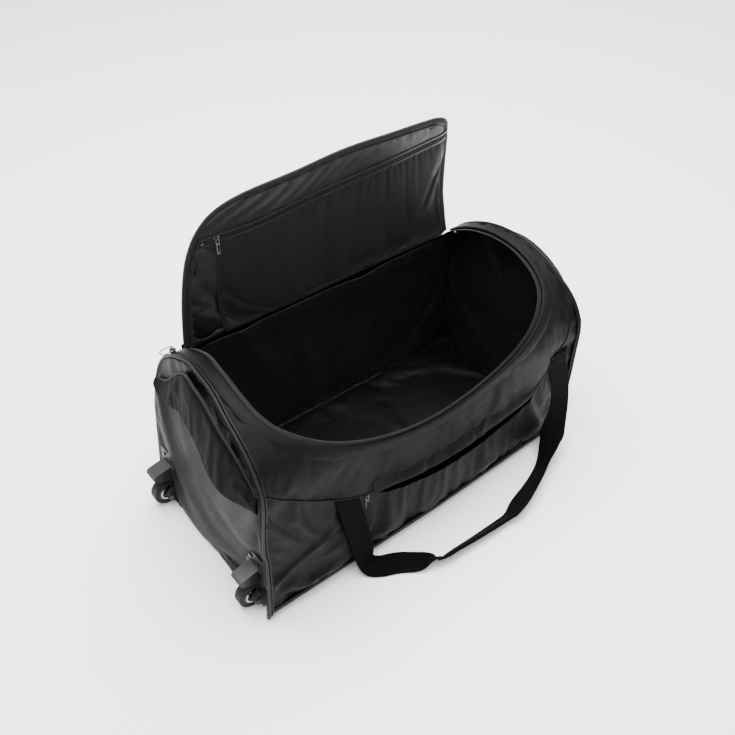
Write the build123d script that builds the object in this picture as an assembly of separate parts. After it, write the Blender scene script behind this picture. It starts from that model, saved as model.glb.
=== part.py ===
from build123d import *
import os
import math

# Rolling duffel bag, lid standing open. Millimetres, +Z up, long axis along X.
# Origin: on the floor, under the middle of the bag. Wheels at -X, towing end at +X,
# front (zipped pocket) at -Y, lid hinge along the back at +Y.

# ---- driving dimensions ----
L = 760.0          # body length between the two end panels at the floor
W = 370.0          # body width
H = 400.0          # height of the arch over the floor
BR = 18.0          # rounding of the long bottom edges
RS = 110.0         # shoulder radius of the arch
YS = W / 2 - RS    # shoulder centre, y
ZS = 262.0         # shoulder centre, z
RC = (RS**2 - YS**2 - (ZS - H) ** 2) / (2 * (ZS - H) + 2 * RS)  # crown radius
LEAN_W = 0.070     # inward lean of the wheel end panel, mm per mm of height
LEAN_T = 0.015     # inward lean of the towing end panel
FAB = 3.0          # outer fabric with its backing
WRAP = 25.0        # how far the bottom panel wraps up the sides

# lid opening, seen from the front: a shallow U between two rounded corners
OPEN_X = 322.0     # half width of the opening
RIM_Z = 255.0      # lowest point of the front rim
RIM_R = 469.0      # radius of the sagging front rim
RIM_PX = 290.0     # where the rim passes into its corner radius
HINGE_Y, HINGE_Z = 155.0, 337.0   # lid fold line

# lid
LID_LEN = 308.0    # fold line to the free edge, straight across
LID_LEAN = 98.0    # direction of the lid at rest, degrees from +Y
LID_BULGE = 24.0   # how far the lid bows backwards
LID_W0, LID_W1 = 306.0, 311.0     # half width at the fold and higher up
LID_CORNER = 118.0

# straps
WEB = 48.0         # webbing width
WEB_T = 2.5        # webbing thickness
STRAP_AX_Z = 197.0
STRAP_Y = W / 2 + 5.2
LEG_L, LEG_R = -211.0, 299.0      # middles of the two legs

# wheels
WHEEL_R, WHEEL_W = 28.0, 22.0
WHEEL_X, WHEEL_Y, WHEEL_Z = -391.0, 149.0, 29.0
AXLE_R = 4.0
RUN_FIT = 0.05


def save(name, shape):
    export_step(shape, f"parts/{name}.step")


def solid_of(s):
    """The shape as plain solids."""
    sol = s.solids()
    return sol[0] if len(sol) == 1 else Compound(children=list(sol))


def section_face(t):
    """Cross-section of the bag, offset inwards by t: flat base, straight sides, three-centred arch."""
    hw, zb, rb = W / 2 - t, t, max(BR - t, 1.5)
    rs, rc = RS - t, RC - t
    cz = H - RC
    n = math.hypot(YS, ZS - cz)
    ty, tz = YS / n * rc, cz + (ZS - cz) / n * rc
    k = math.sqrt(0.5)
    a_t = math.atan2(ZS - cz, YS)
    a_m = a_t / 2
    pts = [
        Line((-hw + rb, zb), (hw - rb, zb)),
        ThreePointArc((hw - rb, zb), (hw - rb + rb * k, zb + rb - rb * k), (hw, zb + rb)),
        Line((hw, zb + rb), (hw, ZS)),
        ThreePointArc((hw, ZS), (YS + rs * math.cos(a_m), ZS + rs * math.sin(a_m)), (ty, tz)),
        ThreePointArc((ty, tz), (0, H - t), (-ty, tz)),
        ThreePointArc((-ty, tz), (-YS - rs * math.cos(a_m), ZS + rs * math.sin(a_m)), (-hw, ZS)),
        Line((-hw, ZS), (-hw, zb + rb)),
        ThreePointArc((-hw, zb + rb), (-hw + rb - rb * k, zb + rb - rb * k), (-hw + rb, zb)),
    ]
    return make_face(pts)


def bar(t, x0=-460.0, x1=460.0):
    return extrude(Plane.YZ.offset(x0) * section_face(t), amount=x1 - x0)


def shell(t0, t1, x0=-460.0, x1=460.0):
    face = section_face(t0) - section_face(t1)
    return extrude(Plane.YZ.offset(x0) * face, amount=x1 - x0)


def xw(z, off=0.0):
    return -L / 2 + LEAN_W * z + off


def xt(z, off=0.0):
    return L / 2 - LEAN_T * z - off


def front_prism(points, y0=-400.0, y1=400.0):
    """A polygon in X,Z pulled along Y."""
    w = Polyline(*[(x, z) for x, z in points], close=True)
    f = Plane.XZ * make_face(w)
    return extrude(f, amount=y1 - y0, dir=(0, 1, 0)).moved(Location((0, y0, 0)))


def between_ends(off, off_t=None):
    o2 = off if off_t is None else off_t
    return front_prism([(xw(-60, off), -60), (xt(-60, o2), -60), (xt(700, o2), 700), (xw(700, off), 700)])


def box(x0, x1, y0, y1, z0, z1):
    return Pos((x0 + x1) / 2, (y0 + y1) / 2, (z0 + z1) / 2) * Box(x1 - x0, y1 - y0, z1 - z0)


def cyl_y(x, y0, y1, z, r):
    return Pos(x, (y0 + y1) / 2, z) * Rot(90, 0, 0) * Cylinder(r, y1 - y0)


def opening(o):
    """Everything above the rim, with the opening made smaller by o."""
    cr0 = (OPEN_X - RIM_PX) / (1 - RIM_PX / RIM_R)
    ux, uz = RIM_PX / RIM_R, -math.sqrt(1 - (RIM_PX / RIM_R) ** 2)
    bz = RIM_Z + RIM_R
    px, pz = RIM_PX, bz + RIM_R * uz
    cx, cz = px - cr0 * ux, pz - cr0 * uz
    cr, rr = cr0 - o, RIM_R - o
    xo = OPEN_X - o
    ang = math.atan2(uz, ux) / 2
    mx, mz = cx + cr * math.cos(ang), cz + cr * math.sin(ang)
    qx, qz = cx + cr * ux, cz + cr * uz
    edges = [
        Line((-xo, 640), (xo, 640)),
        Line((xo, 640), (xo, cz)),
        ThreePointArc((xo, cz), (mx, mz), (qx, qz)),
        ThreePointArc((qx, qz), (0, bz - rr), (-qx, qz)),
        ThreePointArc((-qx, qz), (-mx, mz), (-xo, cz)),
        Line((-xo, cz), (-xo, 640)),
    ]
    f = Plane.XZ * make_face(edges)
    front = extrude(f, amount=400 + HINGE_Y - 60, dir=(0, 1, 0)).moved(Location((0, -400, 0)))
    top = box(-xo, xo, -60, HINGE_Y, 300, 640)
    return front + top


SEAM = [(-420, 342), (-380, 312), (-190, 168), (250, 168), (300, 250), (380, 340), (420, 385)]
above_seam = front_prism(SEAM + [(420, 700), (-420, 700)])
below_seam = front_prism(SEAM + [(420, -60), (-420, -60)])

inner = between_ends(FAB + 1.0)
mouth = opening(0.0)

# room for the two wheel housings in the wheel end
wells = Part()
for s in (-1, 1):
    wells += box(-440, -351.7, s * WHEEL_Y - 24.3, s * WHEEL_Y + 24.3, -20, 62.3)

# ---- body panels ----
skin = shell(0, FAB) & inner
low = box(-460, 460, -300, 300, -20, WRAP)
save("bottom_panel", solid_of((skin & low) - wells))
save("base_board", solid_of(box(-348, 368, -166, 166, FAB + 0.2, FAB + 3.7)))

back_zone = box(-460, 460, 0, 300, WRAP, HINGE_Z)
save("back_panel", solid_of((skin & back_zone) - mouth))

upper = skin - low - back_zone
upper = (upper & above_seam) - mouth
save("front_yoke", solid_of(upper & box(-200, 200, -300, 0, 0, 400)))
save("wheel_end_collar", solid_of(upper & box(-460, -200, -300, 300, 0, 500)))
save("tow_end_collar", solid_of(upper & box(200, 460, -300, 300, 0, 500)))

# front pocket: a thin outer panel, an inner wall behind it, open at the zip along the seam
pocket_zone = below_seam & box(-460, 460, -300, 0, WRAP, 340)
save("front_pocket_panel", solid_of(shell(1.0, 2.8) & inner & pocket_zone))
save("front_inner_wall", solid_of(shell(6.2, 8.6) & between_ends(6.0) & box(-460, 460, -300, 0, WRAP, 166)))

# ---- end panels ----
full = bar(0)
slab_w = between_ends(0, -40) - between_ends(FAB + 0.8, -41)
slab_t = between_ends(-40, 0) - between_ends(-41, FAB + 0.8)
save("wheel_end_panel", solid_of((full & slab_w) - wells))
save("tow_end_panel", solid_of(full & slab_t))

# piping sewn round both end seams
rim_ring = shell(-3.2, 0)
keep = box(-460, 460, -300, 300, 14, 500)
save("wheel_end_piping", solid_of(rim_ring & (between_ends(-2.5, -40) - between_ends(4.5, -41)) & keep))
save("tow_end_piping", solid_of(rim_ring & (between_ends(-40, -2.5) - between_ends(-41, 4.5)) & keep))

# ---- lining ----
lin = (bar(9.2) & between_ends(8.0)) - (bar(9.9) & between_ends(8.7))
lin = lin - mouth - wells
save("lining", solid_of(lin))

# ---- main zip: tape and coil round the U of the opening ----
band = opening(-7.0) - opening(6.0)
tape = shell(FAB, FAB + 1.4) & inner & band
save("main_zip_tape", solid_of(tape))
# slider parked at the wheel end of the fold line
msx, msy, msz = -333.0, 146.0, 351.6
# open wire pull hooked on the slider, lying towards the wheel end
wr = 1.0
px0, px1, py0, py1, pz = msx - 23.0, msx + 0.0, msy - 7.0, msy + 7.0, msz + 8.4
pull = (cyl_y(px1, py0, py1, pz, 0.95) + cyl_y(px0, py0, py1, pz, wr)
        + Pos((px0 + px1) / 2, py0, pz) * Rot(0, 90, 0) * Cylinder(wr, px1 - px0)
        + Pos((px0 + px1) / 2, py1, pz) * Rot(0, 90, 0) * Cylinder(wr, px1 - px0))
for (cx_, cy_) in ((px0, py0), (px0, py1), (px1, py0), (px1, py1)):
    pull += Pos(cx_, cy_, pz) * Sphere(wr)
# the slider's two lugs are drilled for the cross wire
eye = cyl_y(px1, py0 - 2, py1 + 2, pz, 1.02)
slider = (box(msx - 5, msx + 5, msy - 8, msy + 8, msz + 1.6, msz + 4.6)
          + box(msx - 2.4, msx + 2.4, msy - 5.0, msy - 3.0, msz + 4.6, msz + 10.6)
          + box(msx - 2.4, msx + 2.4, msy + 3.0, msy + 5.0, msz + 4.6, msz + 10.6)) - eye
save("main_zip_slider", solid_of(slider))
save("main_zip_pull", solid_of(pull))

# ---- pocket zip along the front seam ----
zip_y = -W / 2
tape_f = box(-182, 244, zip_y + FAB, zip_y + FAB + 3.2, 160, 178)
save("pocket_zip_tape", solid_of(tape_f))
psx, psz = -166.0, 163.0
ps = (box(psx - 8, psx + 8, zip_y - 3.4, zip_y + 0.6, psz - 4.5, psz + 4.4)
      + box(psx - 1.6, psx + 1.6, zip_y - 8.6, zip_y - 3.4, psz - 3, psz + 3))
ps = ps - Pos(psx, zip_y - 6.2, psz) * Rot(0, 90, 0) * Cylinder(1.05, 12)
save("pocket_slider", solid_of(ps))
pt = (Pos(psx, zip_y - 6.2, psz) * Rot(0, 90, 0) * Cylinder(1.0, 7.0)
      + box(psx - 3.5, psx - 2.0, zip_y - 7.2, zip_y - 5.2, psz - 9, psz + 1.0)
      + box(psx + 2.0, psx + 3.5, zip_y - 7.2, zip_y - 5.2, psz - 9, psz + 1.0)
      + box(psx - 3.5, psx + 3.5, zip_y - 7.2, zip_y - 5.2, psz - 34, psz - 9))
save("pocket_pull", solid_of(pt))


# ---- lid, standing open ----
def polar(r, a):
    return (HINGE_Y + r * math.cos(math.radians(a)), HINGE_Z + r * math.sin(math.radians(a)))


lid_r = (LID_LEN / 2) ** 2 / (2 * LID_BULGE) + LID_BULGE / 2          # radius of its bow
mid = polar(LID_LEN / 2, LID_LEAN)
nx, nz = math.sin(math.radians(LID_LEAN)), -math.cos(math.radians(LID_LEAN))  # towards the back
lid_cy, lid_cz = mid[0] + nx * (LID_BULGE - lid_r), mid[1] + nz * (LID_BULGE - lid_r)


def lid_layer(d0, d1, x0=-330.0, x1=330.0):
    """A layer of the bowed lid, from d0 to d1 behind its middle surface."""
    c = Pos(lid_cy, lid_cz) * (Circle(lid_r + d1) - Circle(lid_r + d0))
    return extrude(Plane.YZ.offset(x0) * c, amount=x1 - x0)


def lid_outline(o=0.0, z0=HINGE_Z + 2.0):
    """Front view of the lid, made smaller by o on its three free sides."""
    z1 = HINGE_Z + LID_LEN * math.sin(math.radians(LID_LEAN)) - o
    a, b, r = LID_W0 - o, LID_W1 - o, LID_CORNER - o
    k = math.sqrt(0.5)
    e = [
        Line((-a, z0), (a, z0)),
        Line((a, z0), (b, z1 - r)),
        ThreePointArc((b, z1 - r), (b - r + r * k, z1 - r + r * k), (b - r, z1)),
        Line((b - r, z1), (-b + r, z1)),
        ThreePointArc((-b + r, z1), (-b + r - r * k, z1 - r + r * k), (-b, z1 - r)),
        Line((-b, z1 - r), (-a, z0)),
    ]
    f = Plane.XZ * make_face(e)
    return extrude(f, amount=320, dir=(0, 1, 0)).moved(Location((0, 40, 0)))


save("lid_panel", solid_of(lid_layer(-1.2, 1.8) & lid_outline(0)))
# zip half sewn round the three free sides of the lid, on its inner face
lid_edge = (lid_layer(-2.6, -1.2) & lid_outline(0, HINGE_Z + 8.0)) - lid_outline(13.0, HINGE_Z - 20)
save("lid_edge_tape", solid_of(lid_edge))
# mesh pocket on the inner face, standing a little off the lining, open along its zip
zp0, zp1 = HINGE_Z + 8.0, HINGE_Z + 208.0
pocket = lid_layer(-3.6, -2.8) & lid_outline(16.0) & box(-262, 298, 0, 400, zp0, zp1)
save("lid_mesh_pocket", solid_of(pocket))
pocket_hem = (lid_layer(-2.8, -1.2) & lid_outline(16.0) & box(-262, 298, 0, 400, zp0, zp1)) - box(-252, 284, 0, 400, zp0 + 10, zp1 + 10)
save("lid_pocket_binding", solid_of(pocket_hem))
save("lid_pocket_zip", solid_of((lid_layer(-4.2, -1.2) & box(-262, 286, 0, 400, zp1 + 0.5, zp1 + 12.5)) - lid_edge))


def lid_y(z, d):
    """y of the surface d behind the lid's middle surface at height z."""
    return lid_cy + math.sqrt((lid_r + d) ** 2 - (z - lid_cz) ** 2)


lsx, lsz = -230.0, zp1 + 6.5
lsy = lid_y(lsz + 4, -4.2)
ls = (box(lsx - 7, lsx + 7, lsy - 4.2, lsy - 0.4, lsz - 4, lsz + 4)
      + box(lsx - 1.5, lsx + 1.5, lsy - 9.0, lsy - 4.2, lsz - 2.6, lsz + 2.6))
ls = ls - Pos(lsx, lsy - 6.8, lsz) * Rot(0, 90, 0) * Cylinder(1.05, 12)
save("lid_pocket_slider", solid_of(ls))
lp = (Pos(lsx, lsy - 6.8, lsz) * Rot(0, 90, 0) * Cylinder(1.0, 6.4)
      + box(lsx - 3.2, lsx - 1.9, lsy - 7.7, lsy - 5.9, lsz - 8, lsz + 1.0)
      + box(lsx + 1.9, lsx + 3.2, lsy - 7.7, lsy - 5.9, lsz - 8, lsz + 1.0)
      + box(lsx - 3.2, lsx + 3.2, lsy - 7.7, lsy - 5.9, lsz - 30, lsz - 8))
save("lid_pocket_pull", solid_of(lp))


# ---- grab bands sewn across both ends ----
def end_band(x_in, x_out, th=6.0, y_in=167.0):
    """A padded band bowed outwards and upwards between the two side seams, broadest in the middle."""
    sgn = 1 if x_out > x_in else -1

    def plan(x_i, x_o, yy):
        return [(x_i, -yy), (x_i + (x_o - x_i) * 0.80, -yy * 0.52), (x_o, 0), (x_i + (x_o - x_i) * 0.80, yy * 0.52), (x_i, yy)]

    outer = plan(x_in, x_out, y_in)
    inner_ = plan(x_in, x_out - sgn * th, y_in - th * 1.7)
    f = make_face([Spline(*outer), Line(outer[-1], inner_[-1]), Spline(*inner_[::-1]), Line(inner_[0], outer[0])])
    band_ = extrude(Plane.XY.offset(200) * f, amount=220)
    low_, high_ = [(-190, 236), (-95, 262), (0, 296), (95, 262), (190, 236)], [(-190, 282), (-95, 344), (0, 380), (95, 344), (190, 282)]
    g = make_face([Spline(*low_), Line(low_[-1], high_[-1]), Spline(*high_[::-1]), Line(high_[0], low_[0])])
    arch = extrude(Plane.YZ.offset(-500) * g, amount=1000)
    return band_ & arch


save("wheel_end_handle", solid_of(end_band(-361.0, -404.0) - between_ends(0.0, -60)))
save("tow_end_handle", solid_of(end_band(375.6, 414.0) - between_ends(-60, 0.0)))

# ---- wheel housings, wheels and axles ----
rivets = Part()
for tag, s in (("front", -1), ("back", 1)):
    yc = s * WHEEL_Y
    side = front_prism([
        (xw(122), 122), (xw(122) - 4, 122), (xw(98) - 5, 98), (WHEEL_X - 23, 90), (WHEEL_X - 27, 83), (WHEEL_X - 21, 73),
        (WHEEL_X + 5, 64), (WHEEL_X + 5, 44), (WHEEL_X - 4, 38), (WHEEL_X - 8, 29), (WHEEL_X - 4, 21), (WHEEL_X + 6, 14), (-382, 4), (-352, 4), (-352, 62), (xw(62), 62)],
        yc - 24, yc + 24)
    foot_cut = box(-460, xw(96) - 6, yc - 30, yc - 15, 46, 130) + box(-460, xw(96) - 6, yc + 15, yc + 30, 46, 130)
    well = cyl_y(WHEEL_X, yc - 12.6, yc + 12.6, WHEEL_Z, WHEEL_R + 3.5) + box(-460, WHEEL_X + 10, yc - 12.6, yc + 12.6, -10, 45) + box(WHEEL_X, WHEEL_X + WHEEL_R + 3.5, yc - 12.6, yc + 12.6, -10, WHEEL_Z)
    bore = cyl_y(WHEEL_X, yc - 40, yc + 40, WHEEL_Z, AXLE_R)
    housing = (side - foot_cut) - well - bore
    rv = Part()
    for dy, dz in ((-12, 110), (12, 110)):
        rx = xw(dz) - 5.6
        rv += Pos(rx, yc + dy, dz) * Rot(0, 90, 0) * Cylinder(4.2, 3.0)
    housing = housing - rv
    rivets += rv
    save(f"{tag}_wheel_housing", solid_of(housing))
    axle = cyl_y(WHEEL_X, yc - 24, yc + 24, WHEEL_Z, AXLE_R)
    axle += cyl_y(WHEEL_X, yc + 24, yc + 25.5, WHEEL_Z, AXLE_R + 2.2) + cyl_y(WHEEL_X, yc - 25.5, yc - 24, WHEEL_Z, AXLE_R + 2.2)
    save(f"{tag}_axle", solid_of(axle))
    tyre = cyl_y(WHEEL_X, yc - WHEEL_W / 2, yc + WHEEL_W / 2, WHEEL_Z, WHEEL_R)
    tyre = fillet(tyre.edges(), 4.0)
    tyre = tyre - cyl_y(WHEEL_X, yc - 20, yc + 20, WHEEL_Z, 20.5)
    save(f"{tag}_tyre", solid_of(tyre))
    hub = cyl_y(WHEEL_X, yc - 10, yc + 10, WHEEL_Z, 20.5) - cyl_y(WHEEL_X, yc - 10, yc - 7.5, WHEEL_Z, 17.0) - cyl_y(WHEEL_X, yc + 7.5, yc + 10, WHEEL_Z, 17.0)
    hub += cyl_y(WHEEL_X, yc - 11.8, yc + 11.8, WHEEL_Z, 8.5)
    hub -= cyl_y(WHEEL_X, yc - 20, yc + 20, WHEEL_Z, 5.8)
    ringp = Part()
    for q in (-1, 1):
        ringp += cyl_y(WHEEL_X, yc + q * 8.75 - 1.25, yc + q * 8.75 + 1.25, WHEEL_Z, 16.2) - cyl_y(WHEEL_X, yc - 20, yc + 20, WHEEL_Z, 12.8)
    save(f"{tag}_wheel_hub", solid_of(hub))
    save(f"{tag}_wheel_ring", solid_of(ringp))
    bush = cyl_y(WHEEL_X, yc - 11.8, yc + 11.8, WHEEL_Z, 5.8) - cyl_y(WHEEL_X, yc - 20, yc + 20, WHEEL_Z, AXLE_R + RUN_FIT)
    save(f"{tag}_wheel_bush", solid_of(bush))
save("housing_rivets", solid_of(rivets))


# ---- carry straps ----
def ribbon(points, half, z0, z1):
    """A flat band of even width lying along a path in X,Y."""
    out = Part()
    for i, (a, b) in enumerate(zip(points[:-1], points[1:])):
        d = math.hypot(b[0] - a[0], b[1] - a[1])
        ang = math.degrees(math.atan2(b[1] - a[1], b[0] - a[0]))
        out += Pos((a[0] + b[0]) / 2, (a[1] + b[1]) / 2, (z0 + z1) / 2) * Rot(0, 0, ang) * Box(d, 2 * half, z1 - z0)
        if i:
            out += Pos(a[0], a[1], (z0 + z1) / 2) * Cylinder(half, z1 - z0)
    return out


F0, F1 = 0.5, 3.2                       # underside and top of webbing lying flat
path_l = [(-206, -214), (-170, -252), (-112, -276), (-58, -282)]
path_g = [(-58, -284), (20, -287), (102, -286)]
path_r = [(102, -284), (160, -268), (222, -240), (290, -216)]
for tag, s in (("front", -1), ("back", 1)):
    def put(shape):
        return shape if s < 0 else mirror(shape, about=Plane.XZ)
    y0, y1 = -STRAP_Y - WEB_T / 2, -STRAP_Y + WEB_T / 2
    legs = box(LEG_L - WEB / 2, LEG_L + WEB / 2, y0, y1, F0, STRAP_AX_Z - 0.6)
    legs += box(LEG_R - WEB / 2, LEG_R + WEB / 2, y0, y1, F0, STRAP_AX_Z - 0.6)
    strap = legs + ribbon(path_l, WEB / 2, F0, F1) + ribbon(path_r, WEB / 2, F0, F1)
    strap += box(LEG_L - WEB / 2, LEG_L + WEB / 2, y0 - 10, y1, F0, F1) + box(LEG_R - WEB / 2, LEG_R + WEB / 2, y0 - 10, y1, F0, F1)
    grip = ribbon(path_g, 13.5, F0, F1 + 3.6)
    strap = strap - grip - box(-500, 500, y1, 0, -5, 300)
    save(f"{tag}_strap", solid_of(put(strap)))
    save(f"{tag}_grip", solid_of(put(grip)))
    anch = box(LEG_L - WEB / 2, LEG_L + WEB / 2, -W / 2 - WEB_T, -W / 2 - 0.0, STRAP_AX_Z, STRAP_AX_Z + 12)
    anch += box(LEG_R - WEB / 2, LEG_R + WEB / 2, -W / 2 - WEB_T, -W / 2 - 0.0, STRAP_AX_Z, 252)
    if s > 0:
        anch = mirror(box(LEG_L - WEB / 2, LEG_L + WEB / 2, -W / 2 - WEB_T, -W / 2 - 0.0, STRAP_AX_Z, STRAP_AX_Z + 40)
                      + box(LEG_R - WEB / 2, LEG_R + WEB / 2, -W / 2 - WEB_T, -W / 2 - 0.0, STRAP_AX_Z, STRAP_AX_Z + 40), about=Plane.XZ)
    save(f"{tag}_strap_anchors", solid_of(anch))

# fabric tape along the lid's fold line
save("lid_hinge_tape", solid_of(shell(FAB, FAB + 1.2) & inner & box(-288, 288, 100, 200, HINGE_Z - 26, HINGE_Z - 2.5)))
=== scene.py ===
import bpy
import bmesh
import math
import numpy as np
from mathutils import Vector, Matrix, noise


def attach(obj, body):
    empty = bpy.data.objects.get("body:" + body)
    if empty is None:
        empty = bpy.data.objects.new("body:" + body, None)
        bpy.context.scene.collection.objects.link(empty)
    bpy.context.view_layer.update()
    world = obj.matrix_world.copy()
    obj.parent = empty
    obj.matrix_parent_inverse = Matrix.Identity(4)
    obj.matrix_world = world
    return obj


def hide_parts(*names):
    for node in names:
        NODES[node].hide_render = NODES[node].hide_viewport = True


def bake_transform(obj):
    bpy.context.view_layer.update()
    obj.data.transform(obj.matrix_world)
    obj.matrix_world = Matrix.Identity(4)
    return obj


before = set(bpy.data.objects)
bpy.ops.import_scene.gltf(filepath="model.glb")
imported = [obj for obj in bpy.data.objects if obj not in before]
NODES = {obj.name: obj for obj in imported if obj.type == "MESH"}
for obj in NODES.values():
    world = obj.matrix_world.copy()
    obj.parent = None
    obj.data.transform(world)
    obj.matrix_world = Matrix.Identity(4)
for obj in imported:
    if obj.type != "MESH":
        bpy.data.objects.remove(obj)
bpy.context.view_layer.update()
scene = bpy.context.scene
coll = scene.collection

# ------------------------------------------------------------------ bag geometry, metres
L, W, H = 0.760, 0.370, 0.400
BR, RS, ZS = 0.018, 0.110, 0.262
YS = W / 2 - RS
RC = (RS**2 - YS**2 - (ZS - H) ** 2) / (2 * (ZS - H) + 2 * RS)
CZ = H - RC
AT = math.atan2(ZS - CZ, YS)
S1 = ZS - BR
S2 = S1 + RS * AT
S3 = S2 + 2 * RC * (math.pi / 2 - AT)
S4 = S3 + RS * AT
S5 = S4 + S1
SC = math.pi / 2 * BR
HY, HZ = 0.155, 0.337
OPEN_X, RIM_Z, RIM_R, RIM_PX = 0.322, 0.255, 0.469, 0.290


def xw(z):
    return -L / 2 + 0.070 * z


def xt(z):
    return L / 2 - 0.015 * z


def prof(s):
    """Section of the bag: y, z and outward normal at arc length s, counted from the foot of the front wall."""
    s = np.asarray(s, float)
    y = np.empty_like(s); z = np.empty_like(s); ny = np.empty_like(s); nz = np.empty_like(s)

    def put(m, yy, zz, a, b):
        y[m], z[m], ny[m], nz[m] = yy, zz, a, b

    m = (s >= 0) & (s <= S1); put(m, -W / 2, BR + s[m], -1.0, 0.0)
    m = (s > S1) & (s <= S2); p = (s[m] - S1) / RS; put(m, -YS - RS * np.cos(p), ZS + RS * np.sin(p), -np.cos(p), np.sin(p))
    m = (s > S2) & (s <= S3); p = AT + (s[m] - S2) / RC; put(m, -RC * np.cos(p), CZ + RC * np.sin(p), -np.cos(p), np.sin(p))
    m = (s > S3) & (s <= S4); p = math.pi - AT + (s[m] - S3) / RS; put(m, YS - RS * np.cos(p), ZS + RS * np.sin(p), -np.cos(p), np.sin(p))
    m = (s > S4) & (s <= S5); put(m, W / 2, ZS - (s[m] - S4), 1.0, 0.0)
    m = (s < 0) & (s >= -SC); p = s[m] / BR; put(m, -W / 2 + BR - BR * np.cos(p), BR + BR * np.sin(p), -np.cos(p), np.sin(p))
    m = s < -SC; put(m, -W / 2 + BR + (-s[m] - SC), 0.0, 0.0, -1.0)
    m = (s > S5) & (s <= S5 + SC); p = (s[m] - S5) / BR; put(m, W / 2 - BR + BR * np.cos(p), BR - BR * np.sin(p), np.cos(p), -np.sin(p))
    m = s > S5 + SC; put(m, W / 2 - BR - (s[m] - S5 - SC), 0.0, 0.0, -1.0)
    return y, z, ny, nz


def s_front(z):
    z = float(z)
    if z <= ZS:
        return z - BR
    if z <= ZS + RS * math.sin(AT):
        return S1 + RS * math.asin((z - ZS) / RS)
    return S2 + RC * (math.asin(min(1.0, (z - CZ) / RC)) - AT)


def s_back(z):
    return S5 - s_front(z)


S_HINGE = s_back(HZ + 0.0005)


def surf(x, s, d=0.0):
    """Point on the bag's outer surface, pushed out by d."""
    y, z, ny, nz = prof(s)
    return np.stack([np.asarray(x, float) * np.ones_like(y), y + ny * d, z + nz * d], -1)


def resample(pts, n):
    pts = np.asarray(pts, float)
    d = np.r_[0, np.cumsum(np.linalg.norm(np.diff(pts, axis=0), axis=1))]
    t = np.linspace(0, d[-1], n)
    return np.stack([np.interp(t, d, pts[:, k]) for k in range(pts.shape[1])], -1)


def smooth_path(pts, n, it=0):
    """Catmull-Rom through the points, evenly resampled."""
    p = np.asarray(pts, float)
    p = np.vstack([2 * p[0] - p[1], p, 2 * p[-1] - p[-2]])
    out = []
    for i in range(1, len(p) - 2):
        for t in np.linspace(0, 1, 24, endpoint=False):
            out.append(0.5 * ((2 * p[i]) + (-p[i - 1] + p[i + 1]) * t + (2 * p[i - 1] - 5 * p[i] + 4 * p[i + 1] - p[i + 2]) * t**2
                              + (-p[i - 1] + 3 * p[i] - 3 * p[i + 1] + p[i + 2]) * t**3))
    out.append(p[-2])
    return resample(out, n)


def rim_path(n, o=0.0):
    """The opening's rim in (x, s), from the back of the wheel end round the front to the back of the towing end."""
    cr0 = (OPEN_X - RIM_PX) / (1 - RIM_PX / RIM_R)
    ux, uz = RIM_PX / RIM_R, -math.sqrt(1 - (RIM_PX / RIM_R) ** 2)
    bz = RIM_Z + RIM_R
    cx, cz = RIM_PX - cr0 * ux, bz + RIM_R * uz - cr0 * uz
    half = []
    for x in np.linspace(0, RIM_PX, 30):
        half.append((x, s_front(bz - math.sqrt(RIM_R**2 - x**2))))
    a0, a1 = math.atan2(uz, ux), -0.36
    for a in np.linspace(a0, a1, 12)[1:]:
        half.append((cx + cr0 * math.cos(a), s_front(cz + cr0 * math.sin(a))))
    sx = half[-1][1]
    for t in np.linspace(0, 1, 24)[1:]:
        half.append((half[-1][0] + (OPEN_X - half[-1][0]) * 0.35, sx + (S_HINGE - sx) * t))
    h = np.array(half)
    full = np.vstack([np.c_[-h[::-1, 0], h[::-1, 1]], h[1:]])
    q = resample(full, 400)
    for _ in range(6):
        q[1:-1] = (q[:-2] + 2 * q[1:-1] + q[2:]) / 4
    if o:
        t = np.gradient(q, axis=0)
        t /= np.linalg.norm(t, axis=1)[:, None]
        q = q + np.c_[-t[:, 1], t[:, 0]] * o   # o > 0 moves into the opening
    return resample(q, n)


SEAM = np.array([(-0.420, 0.338), (-0.375, 0.309), (-0.315, 0.262), (-0.250, 0.214), (-0.200, 0.184), (-0.150, 0.168), (-0.05, 0.163), (0.05, 0.163),
                 (0.150, 0.165), (0.230, 0.172), (0.275, 0.200), (0.305, 0.252), (0.335, 0.300), (0.380, 0.344), (0.420, 0.375)])
_sm = smooth_path(SEAM, 200)


def seam_z(x):
    return np.interp(x, _sm[:, 0], _sm[:, 1])


# ------------------------------------------------------------------ mesh helpers
def obj_from(name, verts, faces, mats=(), smooth=True, uv=None, mat_index=None):
    me = bpy.data.meshes.new(name)
    me.from_pydata([tuple(map(float, v)) for v in verts], [], [tuple(int(i) for i in f) for f in faces])
    me.validate()
    if uv is not None:
        layer = me.uv_layers.new(name="UVMap")
        idx = np.zeros(len(me.loops), np.int64)
        me.loops.foreach_get("vertex_index", idx)
        layer.data.foreach_set("uv", np.asarray(uv, float)[idx].astype(np.float32).ravel())
    o = bpy.data.objects.new(name, me)
    coll.objects.link(o)
    for m in mats:
        me.materials.append(m)
    if mat_index is not None and len(mat_index) == len(me.polygons):
        me.polygons.foreach_set("material_index", np.asarray(mat_index, np.int32))
    if smooth:
        me.polygons.foreach_set("use_smooth", np.ones(len(me.polygons), bool))
    me.update()
    return o


def grid_faces(nu, nv, close_u=False, close_v=False):
    i = np.arange(nu if close_u else nu - 1)
    j = np.arange(nv if close_v else nv - 1)
    I, J = np.meshgrid(i, j, indexing="ij")
    a = I * nv + J
    b = ((I + 1) % nu) * nv + J
    c = ((I + 1) % nu) * nv + (J + 1) % nv
    d = I * nv + (J + 1) % nv
    return np.stack([a, b, c, d], -1).reshape(-1, 4)


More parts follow.
